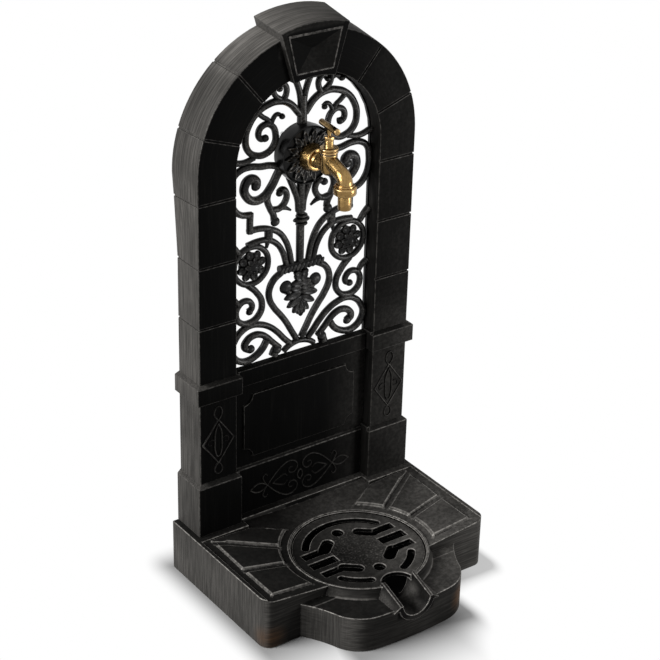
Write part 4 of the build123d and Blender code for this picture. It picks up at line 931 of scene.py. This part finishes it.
def arch_streaks(finish):
    """Brush streaks that run up the wall and round its arch."""
    x, y, z = finish.where()
    rise = z - TAP_HEIGHT
    run = (rise & 0.0) + (rise | 0.0).turn_to(abs(x)) * ARCH_RADIUS
    sockets = {0: from_arch(finish) * STREAK_FINE, 1: y * STREAK_FINE, 2: run * ARCH_STREAK_LONG}
    return finish.noise_in(finish.node("ShaderNodeCombineXYZ", {}, sockets), 4.0, 0.6)


def foot_streaks(finish):
    """Brush streaks that stand on the foot's sides and lie along its front."""
    _, front, _ = finish.facing()
    standing = finish.noise((STREAK_FINE, STREAK_FINE, STREAK_LONG), 4.0, 0.6)
    lying = finish.noise((STREAK_LONG, 60.0, 560.0), 4.0, 0.6)
    share = front.between(*UPRIGHT)
    return standing * (1 - share) + lying * share


def waxed(name, wear, streaks, wax_and_light_share, dust_and_light_share, rubs=()):
    """Black paint with silver wax on its worn edges and in streaks, and faint dust; the two share functions
    also lay its pale colour as painted light.
    """
    settings = finish_settings()
    finish = Finish(name, specular_ior_level=0.02, ior=1.45)
    streak = streaks(finish)
    patch = finish.noise((12.0, 12.0, 9.0), 4.0, 0.6).between(0.3, 0.7)
    grain = finish.noise(900.0, 2.0, 0.7)
    scuff = finish.noise(190.0, 5.0, 0.65)
    line = finish.worn() * (0.3 + 0.7 * scuff.between(0.34, 0.6))
    halo = finish.edges(2.4 * MM, 0.004, 0.06) * scuff.between(0.46, 0.7)
    # The wax and dust shares also carry painted light, in the same pale colour as the wax
    brushed = wax_and_light_share(finish) * (0.55 + 0.9 * streak.between(0.3, 0.75)) * (0.75 + 0.5 * patch)
    dust_and_light = dust_and_light_share(finish) * (0.65 + 0.7 * scuff.between(0.35, 0.7)) * (0.6 + 0.8 * patch)
    edge = (line * wear) | (halo * (wear * 0.55)) | brushed
    silver = edge + dust_and_light + grain.between(0.62, 0.85) * 0.02 + streak.between(0.5, 0.72) * 0.012
    colour = finish.blended(silver, tuple(settings.paint), tuple(settings.rubbed_and_lit))
    for place, reach in rubs:
        brown = finish.near(place, reach) * (0.35 + 0.65 * streak.between(0.35, 0.6)) * 0.7
        colour = finish.blended(brown, colour, tuple(settings.rust))
    roughness = 0.48 - 0.1 * line + 0.14 * streak
    bump = streak * 0.5 + grain * 0.25 + scuff * 0.35
    return finish.shaded(colour, roughness, line * 0.4, bump, 0.3, 0.3 * MM)


def wall_skin(finish):
    """Share of wax on the wall: most on its flanks and crown, some in the reveal, and none on its front."""
    _, _, z = finish.where()
    side, _, up = finish.facing()
    crown = z.between(KEY_FOOT, KEY_FOOT + 0.03) * up.between(0.6, 0.95)
    turned_out = (side | up).between(0.3, 0.75) * (1 + crown * 1.7)
    return turned_out * (0.04 + 0.1 * from_arch(finish).between(ARCH_OUTER - 0.012, ARCH_OUTER - 0.006))


def wall_painted_light(finish):
    """Painted light on the wall's front: its right half is painted a little paler, as lit from the
    front-right, and so are the two facets of the keystone that face up and to the left, towards the key lamp.
    """
    x, _, z = finish.where()
    across, along, up = finish.parts(finish.normal())
    # Painted light from the front-right on the right half of the front
    band = 0.085 + 0.05 * z.between(0.13, 0.17) - 0.095 * z.between(0.28, 0.36)
    right = x.between(0.03, 0.16) * band
    # Painted light on the keystone's facets that turn up and to the left
    key = z.between(KEY_FOOT, KEY_FOOT + 0.004) * (KEY_HALF - abs(x)).between(0.0, 0.002)
    return abs(along).between(0.6, 0.9) * (right | (key * (up - across).between(0.02, 0.08) * 0.05))


def foot_wax_and_light(finish):
    """Share of wax on the upright outer faces of the foot, with little in its spout and none in its grate;
    the fronts are painted paler towards the right as light from the front-right.
    """
    x, _, z = finish.where()
    side, front, _ = finish.facing()
    trough = (TROUGH_HALF - abs(x)).between(0.0, 0.005) * z.between(*TROUGH_FLOOR)
    # Painted light: the fronts grow paler towards the right
    along = 0.078 + x.between(0.09, 0.17) * 0.19
    upright = side.between(*UPRIGHT) * 0.13 + front.between(*UPRIGHT) * along
    return upright * from_grate(finish).between(*OFF_RING) * (1 - trough * 0.85)


def step_lines(finish):
    """Worn lines on the top of the lower step: round the ring's foot and along the ledge beside it."""
    x, y, z = finish.where()
    across = abs(x)
    ring = 1 - abs(from_grate(finish) - RING_FOOT).between(*LINE_EDGE)
    ring = ring * across.between(0.036, 0.04) * (1 - across.between(0.076, 0.08))
    ledge = (1 - abs(y - LEDGE_LINE).between(*LINE_EDGE)) * across.between(0.074, 0.078)
    return (ring | ledge) * (1 - abs(z - STEP_TOP).between(0.001, 0.003))


def foot_dust_and_painted_light(finish):
    """Level faces of the foot have faint dust and are painted paler towards the right as light from the
    front-right, the centre of the grate is speckled, and a highlight is painted inside the spout.
    """
    x, _, z = finish.where()
    _, _, up = finish.facing()
    radius = from_grate(finish)
    sunk = (1 - radius.between(*OFF_GRATE)) * (1 - z.between(GRATE_LOW.z, GRATE_LOW.z + 0.002))
    speckle = finish.noise(330.0, 3.0, 0.7).between(0.5, 0.66) * 0.17 - 0.05
    # Faint dust, painted light that grows towards the right, and the grate's speckle
    dust_and_light = 0.03 + x.between(-0.08, 0.1) * 0.175 + speckle * (1 - radius.between(*OFF_GRATE_CENTRE))
    # A painted highlight on the spout's inner wall
    spout_highlight = finish.near(SPOUT_PAINTED_HIGHLIGHT, 0.02) * 0.16
    return ((up.between(*LEVEL) * (1 - sunk) * dust_and_light) | spout_highlight) + step_lines(finish) * 0.26


def gloss_black():
    """Satin black of the scroll grille, its flowers and its drum."""
    settings = finish_settings()
    finish = Finish("grille_paint", specular_ior_level=0.2, ior=1.45)
    cloud = finish.noise(55.0, 4.0, 0.6)
    pits = finish.noise(420.0, 3.0, 0.65)
    worn = finish.worn()
    silver = worn * (0.1 + 0.9 * pits.between(0.42, 0.66)) * cloud.between(0.3, 0.6) * 0.6
    colour = finish.blended(silver, tuple(settings.paint), tuple(settings.rubbed_and_lit))
    shine = worn.between(0.9, 1.6) * cloud.between(0.35, 0.6)
    return finish.shaded(colour, 0.22 + 0.16 * cloud, shine, pits * 0.5 + cloud, 0.28, 0.5 * MM)


def polished_brass():
    """Cast brass, dark with tarnish in patches, with its crests polished and painted paler than the brass as
    a painted highlight.
    """
    red, green, blue, _ = finish_settings().brass
    finish = Finish("polished_brass", metallic=1.0)
    cloud = finish.noise(75.0, 5.0, 0.65)
    spots = finish.noise(310.0, 4.0, 0.65)
    fine = finish.noise(1100.0, 2.0, 0.6)
    tarnish = (red * 0.24, green * 0.2, blue * 0.16, 1.0)
    # Polished crests painted pale, partly a painted highlight
    polish_highlight = (red * 2.0, green * 2.1, blue * 2.6, 1.0)
    dark = cloud.between(0.4, 0.62) * 0.5 | spots.between(0.5, 0.68) * 0.7
    colour = finish.blended(dark, (red, green, blue, 1.0), tarnish)
    colour = finish.blended(finish.worn() * (0.4 + 0.6 * spots.between(0.35, 0.6)) * 0.7, colour, polish_highlight)
    roughness = 0.11 + 0.15 * cloud + 0.06 * fine
    return finish.shaded(colour, roughness, None, cloud + spots * 0.6 + fine * 0.2, 0.45, 0.6 * MM)


def cloudy(name, scale, detail, colours, roughness, strength, **constants):
    """A plain finish between two colours and two roughnesses."""
    finish = Finish(name, **constants)
    cloud = finish.noise(scale, detail, 0.6)
    low, high = roughness
    return finish.shaded(
        finish.blended(cloud, *colours), low + (high - low) * cloud, None, cloud, strength, 0.2 * MM,
    )


def zinc_steel():
    """Dull zinc plate of the hidden fasteners."""
    colours = ((0.42, 0.43, 0.44, 1.0), (0.58, 0.58, 0.57, 1.0))
    return cloudy("zinc_plate", 220.0, 4.0, colours, (0.35, 0.55), 0.1, metallic=1.0)


def black_rubber():
    """Matt black rubber of the seals."""
    colours = ((0.012, 0.012, 0.012, 1.0), (0.03, 0.029, 0.028, 1.0))
    return cloudy("seal_rubber", 400.0, 3.0, colours, (0.75, 0.9), 0.15)


class FOUNTAIN_OT_finishes(bpy.types.Operator):
    """Mixes the finishes and gives them to the frame's pieces"""

    bl_idname = "fountain.finishes"
    bl_label = "Finishes"

    def execute(self, context):
        settings = finish_settings()
        slots = {
            "black_paint": waxed("wall_paint", settings.wall_wear, arch_streaks, wall_skin, wall_painted_light),
            "brass": polished_brass(),
            "zinc_steel": zinc_steel(),
            "rubber": black_rubber(),
        }
        waxed("foot_paint", settings.foot_wear, foot_streaks, foot_wax_and_light, foot_dust_and_painted_light, BROWN_RUBS)
        gloss_black()
        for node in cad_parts.values():
            for place in node.material_slots:
                place.material = slots[place.material.name.split(".")[0]]
        return {"FINISHED"}


# Castings


def flared(wall):
    """Widens the arch towards its back as a mould's draft does, and crowns the keystone."""
    for vertex in wall.data.vertices:
        depth = (BACK - vertex.co.y) / MM
        rise = vertex.co.z - TAP_HEIGHT
        out = Vector((vertex.co.x, 0.0, max(rise, 0.0)))
        if out.length < ARCH_OUTER - 2 * MM or rise < -DRAFT_DROP:
            continue
        key = clamped((out.length - ARCH_OUTER - 1 * MM) / (3 * MM))
        behind = max(0.0, 1.0 - depth / PILLAR_FACE_DEPTH) * min(1.0, 1.0 + rise / DRAFT_DROP)
        grow = KEY_RISE * key + (ARCH_DRAFT + KEY_DRAFT * key) * behind
        vertex.co += out.normalized() * grow


def lowered(basin):
    """Slopes the lip of the spout down to the front step."""
    for vertex in basin.data.vertices:
        height = vertex.co.z - STEP_TOP
        if abs(vertex.co.x) < SPOUT_HALF and vertex.co.y < SPOUT_ROOT and height > 0.0:
            share = (SPOUT_ROOT - vertex.co.y) / (SPOUT_ROOT - CAD_BOX[0].y)
            vertex.co.z -= height * SPOUT_FALL * share


def on_stone(place, level):
    """Whether a place is on the top edge of one of the wedge stones, whatever the level of its faces."""
    away = math.hypot(place.x, place.y - GRATE_CENTRE.y)
    inside = abs(place.x) < STONE_HALF and STONE_FRONT < place.y < STONE_BACK
    return inside and away > STONE_INNER and place.z > STONE_LOW


class FOUNTAIN_OT_castings(bpy.types.Operator):
    """Softens the edges of the wall, the apron, the foot and the grate"""

    bl_idname = "fountain.castings"
    bl_label = "Castings"

    def execute(self, context):
        edge = shape_settings().casting_edge
        wall = softened("wall_frame", edge, angle=9.0, smooth=18.0)
        flared(wall)
        apron = softened("apron_panel", edge)
        basin = softened("base_basin", edge, wide=(shape_settings().stone_edge, on_stone))
        lowered(basin)
        grate = softened("grate", edge)
        for piece, node, finish, body in (
            (wall, "wall_frame", "wall_paint", "fountain"),
            (apron, "apron_panel", "wall_paint", "fountain"),
            (basin, "base_basin", "foot_paint", "fountain"),
            (grate, "grate", "foot_paint", "grate"),
        ):
            dressed(piece, node + "_casting", finish, body, "black_paint", node)
        return {"FINISHED"}


class FOUNTAIN_OT_scrolls(bpy.types.Operator):
    """Sweeps the rounded bars of the scroll grille and turns its drum"""

    bl_idname = "fountain.scrolls"
    bl_label = "Scroll grille"

    def execute(self, context):
        strokes = []
        for points, first, last in SCROLLS.values():
            placed = moved(points, 0, ARCH)
            strokes.append((placed, first / BAR_WIDTH, last / BAR_WIDTH, False))
            strokes.append((mirrored(placed), first / BAR_WIDTH, last / BAR_WIDTH, False))
        for points, first, last in STEMS:
            strokes.append((moved(points, 0, ARCH), first / BAR_WIDTH, last / BAR_WIDTH, False))
        ring = [around(FLOWER_CENTRE, FLOWER_RING, index * math.pi / 4) for index in range(8)]
        ring = moved(ring, 0, ARCH)
        strokes.append((ring, 1.0, 1.0, True))
        strokes.append((mirrored(ring), 1.0, 1.0, True))
        oval = round_profile(BAR_WIDTH, shape_settings().bar_depth / MM)
        bars = swept("scroll_bars", strokes, oval, BAR_MIDDLE_DEPTH)
        noted_by_place(bars, crest(BAR_CREST_DEPTH, BAR_WEAR_SPAN, BAR_WEAR))
        ornamented(bars, "scroll_bars", 50.0, nodes=("scroll_grille",))
        ornamented(turned("grille_drum", DRUM_OUTLINE, (0.0, ARCH)), "grille_drum", 32.0)
        path = [(-RIM_HALF, RIM_FOOT)]
        path += [around((0.0, ARCH), RIM_HALF, math.pi * (1 - index / 16)) for index in range(17)]
        path += [(RIM_HALF, RIM_FOOT)]
        rim = swept("grille_rim", [(path, 1.0, 1.0, True)], RIM_SECTION, RIM_MIDDLE_DEPTH, "VECTOR", 1)
        ornamented(rim, "grille_rim", 32.0)
        return {"FINISHED"}


class FOUNTAIN_OT_flowers(bpy.types.Operator):
    """Models the flowers, the scroll eyes, the palmette and the tie of the grille"""

    bl_idname = "fountain.flowers"
    bl_label = "Flowers and leaves"

    def execute(self, context):
        self.flowers(shape_settings().flower_petals)
        self.eyes()
        self.roll()
        self.palmette()
        return {"FINISHED"}

    def flowers(self, count):
        """Two flowers, each with two whorls of petals on a turned core."""
        petal = leaf(PETAL)
        small = leaf(INNER_PETAL)
        for side, name in ((-1, "flower_left"), (1, "flower_right")):
            centre = (side * FLOWER_CENTRE[0], ARCH + FLOWER_CENTRE[1])
            pieces = [turned("flower_core", FLOWER_OUTLINE, centre, 32)]
            pieces += whorl(petal, count, centre, *PETALS, FLOWER_TURN)
            pieces += whorl(small, count, centre, *INNER_PETALS, FLOWER_TURN + 0.5)
            ornamented(joined(name, pieces), name, 45.0)
        removed(petal, small)

    def eyes(self):
        """Rounds at the ends of the scrolls and on the knot of the stem."""
        rounds = []
        for x, z, radius in SCROLL_EYES.values():
            rounds += [(side * x, z, EYE_DEPTH, (radius, radius, EYE_HEIGHT)) for side in (-1, 1)]
        for z, width, thick in KNOT_ROUNDS:
            rounds.append((0.0, z, KNOT_DEPTH, (width, thick, KNOT_HEIGHT)))
        eye = leaf(EYE)
        centred = Matrix.Translation((-EYE[0] / 2 * MM, 0.0, 0.0))
        pieces = []
        for x, z, depth, size in rounds:
            pieces.append(copied(eye, facing(x, ARCH + z, depth) @ Matrix.Diagonal((*size, 1.0)) @ centred))
        removed(eye)
        ornamented(joined("scroll_eyes", pieces), "scroll_eyes", 50.0)

    def roll(self):
        """Roped roll on the rim of the vase."""
        height = ARCH - ROLL_DROP
        path = [(x, height) for x in (-ROLL_HALF, 0.0, ROLL_HALF)]
        section = round_profile(ROLL_WIDTH, ROLL_DEEP, 18)
        pieces = [swept("vase_roll", [(path, 1.0, 1.0, False)], section, ROLL_DEPTH, "VECTOR", 1)]
        bead = leaf(BEAD)
        for index in range(BEAD_COUNT):
            x = BEAD_SPAN * (index / (BEAD_COUNT - 1) - 0.5)
            place = (x + BEAD_SHIFT[0], height + BEAD_SHIFT[1])
            pieces.append(copied(bead, facing(*place, BEAD_DEPTH, math.radians(BEAD_TURN))))
        removed(bead)
        ornamented(joined("vase_roll", pieces), "vase_roll", 50.0)

    def palmette(self):
        """Leaves that fall from the vase."""
        pieces = []
        for (x, z), turn, length, width in PALM_LEAVES:
            lobe = leaf((length, width, *PALM_RISE), 0.3)
            for side, angle in ((-1, 180 - turn), (1, turn)):
                place = facing(side * x, ARCH + z, PALM_DEPTH, math.radians(angle), -0.03)
                pieces.append(copied(lobe, place))
            removed(lobe)
        ornamented(joined("palmette", pieces), "palmette", 45.0)


class FOUNTAIN_OT_rosette(bpy.types.Operator):
    """Models the leaf rosette in the mouth of the drum"""

    bl_idname = "fountain.rosette"
    bl_label = "Leaf rosette"

    def execute(self, context):
        centre = (0.0, ARCH)
        count = shape_settings().rosette_leaves
        outer = leaf(ROSETTE_LEAF, 0.6, 2.0)
        inner = leaf(INNER_ROSETTE_LEAF, 0.6, 2.0)
        pieces = [turned("rosette_plate", ROSETTE_OUTLINE, centre)]
        pieces += whorl(outer, count, centre, *ROSETTE_RING, 0.0)
        pieces += whorl(inner, count, centre, *INNER_ROSETTE_RING, 0.5)
        removed(outer, inner)
        rosette = joined("leaf_rosette_carved", pieces)
        ornamented(rosette, "leaf_rosette_carved", 40.0, nodes=("leaf_rosette",))
        return {"FINISHED"}


class FOUNTAIN_OT_ornament(bpy.types.Operator):
    """Sweeps the raised lines on the pillars and on the apron block"""

    bl_idname = "fountain.ornament"
    bl_label = "Raised ornament"

    def execute(self, context):
        line = round_profile(1.0, LINE_DEEP, 8)
        for side, name in ((-1, "pillar_diamond_left"), (1, "pillar_diamond_right")):
            place = (side * DIAMOND_PLACE[0], DIAMOND_PLACE[1])
            strokes = [
                (moved(points, *place), first, last, False) for points, first, last in DIAMOND_LINES.values()
            ]
            soft = swept(name, strokes, line, PILLAR_FACE_DEPTH, "AUTO", 5)
            edges = [(moved(DIAMOND_CORNERS, *place), DIAMOND_WIDTH, DIAMOND_WIDTH, True)]
            sharp = swept(name + "_frame", edges, line, PILLAR_FACE_DEPTH, "VECTOR", 1)
            self.raised(joined(name, [soft, sharp]), name, PILLAR_FACE_DEPTH)
        strokes = []
        for points, first, last in APRON_LINES.values():
            for flip in (-1, 1):
                up = [(x, APRON_LINES_HEIGHT + flip * z) for x, z in points]
                strokes.append((up, first, last, False))
                strokes.append((mirrored(up), first, last, False))
        hearts = swept("apron_hearts", strokes, line, BLOCK_FACE_DEPTH, "AUTO", 5)
        self.raised(hearts, "apron_hearts", BLOCK_FACE_DEPTH)
        return {"FINISHED"}

    def raised(self, piece, name, ground):
        """Wears the crests of raised lines on a ground of some depth, and dresses them."""
        noted_by_place(piece, crest(ground + LINE_FOOT, LINE_SPAN))
        ornamented(piece, name, 60.0, "wall_paint")


class FOUNTAIN_OT_tap(bpy.types.Operator):
    """Softens the edges of the brass tap"""

    bl_idname = "fountain.tap"
    bl_label = "Brass tap"

    def execute(self, context):
        edge = shape_settings().brass_edge
        for node, body in (
            ("tap_body", "fountain"),
            ("wall_flange", "fountain"),
            ("tap_bonnet", "fountain"),
            ("gland_nut", "fountain"),
            ("hose_union_nut", "fountain"),
            ("hose_tail", "fountain"),
            ("t_handle", "handle"),
        ):
            dressed(softened(node, edge, 2), node + "_polished", "polished_brass", body, "brass", node)
        return {"FINISHED"}


# Stage


class FOUNTAIN_OT_stage(bpy.types.Operator):
    """Sets the floor, the soft light and the camera"""

    bl_idname = "fountain.stage"
    bl_label = "Stage"

    def execute(self, context):
        scene = context.scene
        stage = scene.fountain_stage
        scene.view_settings.view_transform = "Standard"
        self.floor()
        self.room(scene, stage.fill)
        self.lamp("key_lamp", KEY_PLACE, KEY_SIZE, stage.key_power)
        self.lamp("fill_lamp", FILL_PLACE, FILL_SIZE, stage.fill_power)
        self.camera(scene, stage)
        return {"FINISHED"}

    def floor(self):
        """Floor with a painted contact shadow: near the foot it is grey and keeps the real shadow, and
        further out it fades into the white room.
        """
        deselect()
        bpy.ops.mesh.primitive_grid_add(
            x_subdivisions=4, y_subdivisions=4, size=FLOOR_SIZE, location=(0.0, 0.0, -FLOOR_DROP),
        )
        floor = bpy.context.view_layer.objects.active
        floor.name = "floor"
        bpy.ops.object.transform_apply(location=True)
        grey = (FLOOR_SHADOW_GREY, FLOOR_SHADOW_GREY, FLOOR_SHADOW_GREY, 1.0)
        finish = Finish("pale_floor", base_color=grey, roughness=0.95, specular_ior_level=0.0)
        camera = finish.node("ShaderNodeLightPath", {}, {}, "Is Camera Ray")
        glossy = finish.node("ShaderNodeLightPath", {}, {}, "Is Glossy Ray")
        x, y, _ = finish.where()
        # Painted shadow: the grey floor shows close to the foot at the sides and farther out in front
        fall = 0.2 + 1.3 * x.between(0.04, 0.14)
        spans = []
        for half, front in FOOT_OUTLINE:
            left = (0 - x - half) | 0.0
            right = (x - half) | 0.0
            before = (front - y) | 0.0
            behind = (y - CAD_BOX[1].y) | 0.0
            sides = left * left * 1.8 + right * right * 4
            spans.append((sides + before * before * fall + behind * behind) ** 0.5)
        far = (spans[0] & spans[1]).between(0.0, SHADOW_REACH)
        # On the right the floor is at least half white, painted light over the real shadow there
        share = (camera | glossy) * (far ** 0.7 | x.between(0.04, 0.16) * 0.5)
        white = finish.node("ShaderNodeEmission", {}, {"Color": WHITE, "Strength": 1.0})
        lit = Amount(finish, finish.shader.outputs[0])
        mix = finish.node("ShaderNodeMixShader", {}, {0: share, 1: lit, 2: white})
        finish.tree.links.new(mix.socket, finish.tree.nodes["Material Output"].inputs["Surface"])
        floor.data.materials.append(finish.material)

    def room(self, scene, fill):
        """White room for the camera and for reflections, and a low even light for the rest."""
        scene.world = bpy.data.worlds.new("white_room")
        nodes = Nodes(scene.world)
        camera = nodes.node("ShaderNodeLightPath", {}, {}, "Is Camera Ray")
        glossy = nodes.node("ShaderNodeLightPath", {}, {}, "Is Glossy Ray")
        clear = nodes.node("ShaderNodeLightPath", {}, {}, "Is Transmission Ray")
        sockets = {"Value": camera + glossy + clear, "To Min": fill, "To Max": 1.0}
        strength = nodes.node("ShaderNodeMapRange", {}, sockets)
        background = nodes.tree.nodes["Background"]
        background.inputs["Color"].default_value = WHITE
        nodes.tree.links.new(strength.socket, background.inputs["Strength"])

    def lamp(self, name, place, size, power):
        """Soft square lamp that looks at the object's middle."""
        light = bpy.data.lights.new(name, "AREA")
        light.size = size
        light.energy = power
        lamp = added(name, light)
        lamp.location = place
        lamp.rotation_euler = (LAMP_TARGET - Vector(place)).to_track_quat("-Z", "Y").to_euler()

    def camera(self, scene, stage):
        """Camera at the photograph's angle."""
        turn, height, roll = stage.azimuth, stage.elevation, stage.roll
        reach = math.cos(height)
        back = Vector((math.sin(turn) * reach, -math.cos(turn) * reach, math.sin(height)))
        level = Vector((math.cos(turn), math.sin(turn), 0.0))
        top = back.cross(level)
        right = level * math.cos(roll) + top * math.sin(roll)
        up = top * math.cos(roll) - level * math.sin(roll)
        data = bpy.data.cameras.new("photo_camera")
        data.sensor_width = SENSOR_WIDTH
        data.lens = stage.lens
        data.shift_y = PICTURE_SHIFT
        data.dof.use_dof = False
        camera = added("photo_camera", data)
        place = Vector(stage.target) + back * stage.distance
        camera.matrix_world = Matrix.Translation(place) @ Matrix((right, up, back)).transposed().to_4x4()
        scene.camera = camera


OPERATORS = (
    FOUNTAIN_OT_finishes,
    FOUNTAIN_OT_castings,
    FOUNTAIN_OT_scrolls,
    FOUNTAIN_OT_flowers,
    FOUNTAIN_OT_rosette,
    FOUNTAIN_OT_ornament,
    FOUNTAIN_OT_tap,
    FOUNTAIN_OT_stage,
)


class FOUNTAIN_PT_dressing(bpy.types.Panel):
    """Lists the steps that dress the fountain"""

    bl_idname = "FOUNTAIN_PT_dressing"
    bl_label = "Fountain"
    bl_space_type = "VIEW_3D"
    bl_region_type = "UI"
    bl_category = "Fountain"

    def draw(self, context):
        for settings in (
            context.scene.fountain_finish, context.scene.fountain_shape, context.scene.fountain_stage,
        ):
            for name in settings.bl_rna.properties.keys():
                if name not in ("name", "rna_type"):
                    self.layout.prop(settings, name)
        for operator in OPERATORS:
            self.layout.operator(operator.bl_idname)


SETTINGS = {
    "fountain_finish": FountainFinish,
    "fountain_shape": FountainShape,
    "fountain_stage": FountainStage,
}
CLASSES = (*SETTINGS.values(), *OPERATORS, FOUNTAIN_PT_dressing)


def register():
    """Adds the classes and settings to Blender."""
    for item in CLASSES:
        bpy.utils.register_class(item)
    for name, group in SETTINGS.items():
        setattr(bpy.types.Scene, name, bpy.props.PointerProperty(type=group))


def unregister():
    """Takes the classes and settings out of Blender again."""
    for name in SETTINGS:
        delattr(bpy.types.Scene, name)
    for item in reversed(CLASSES):
        bpy.utils.unregister_class(item)


def main():
    """Dresses the fountain."""
    register()
    for operator in OPERATORS:
        group, name = operator.bl_idname.split(".")
        getattr(getattr(bpy.ops, group), name)()
    deselect()


if __name__ == "__main__":
    main()
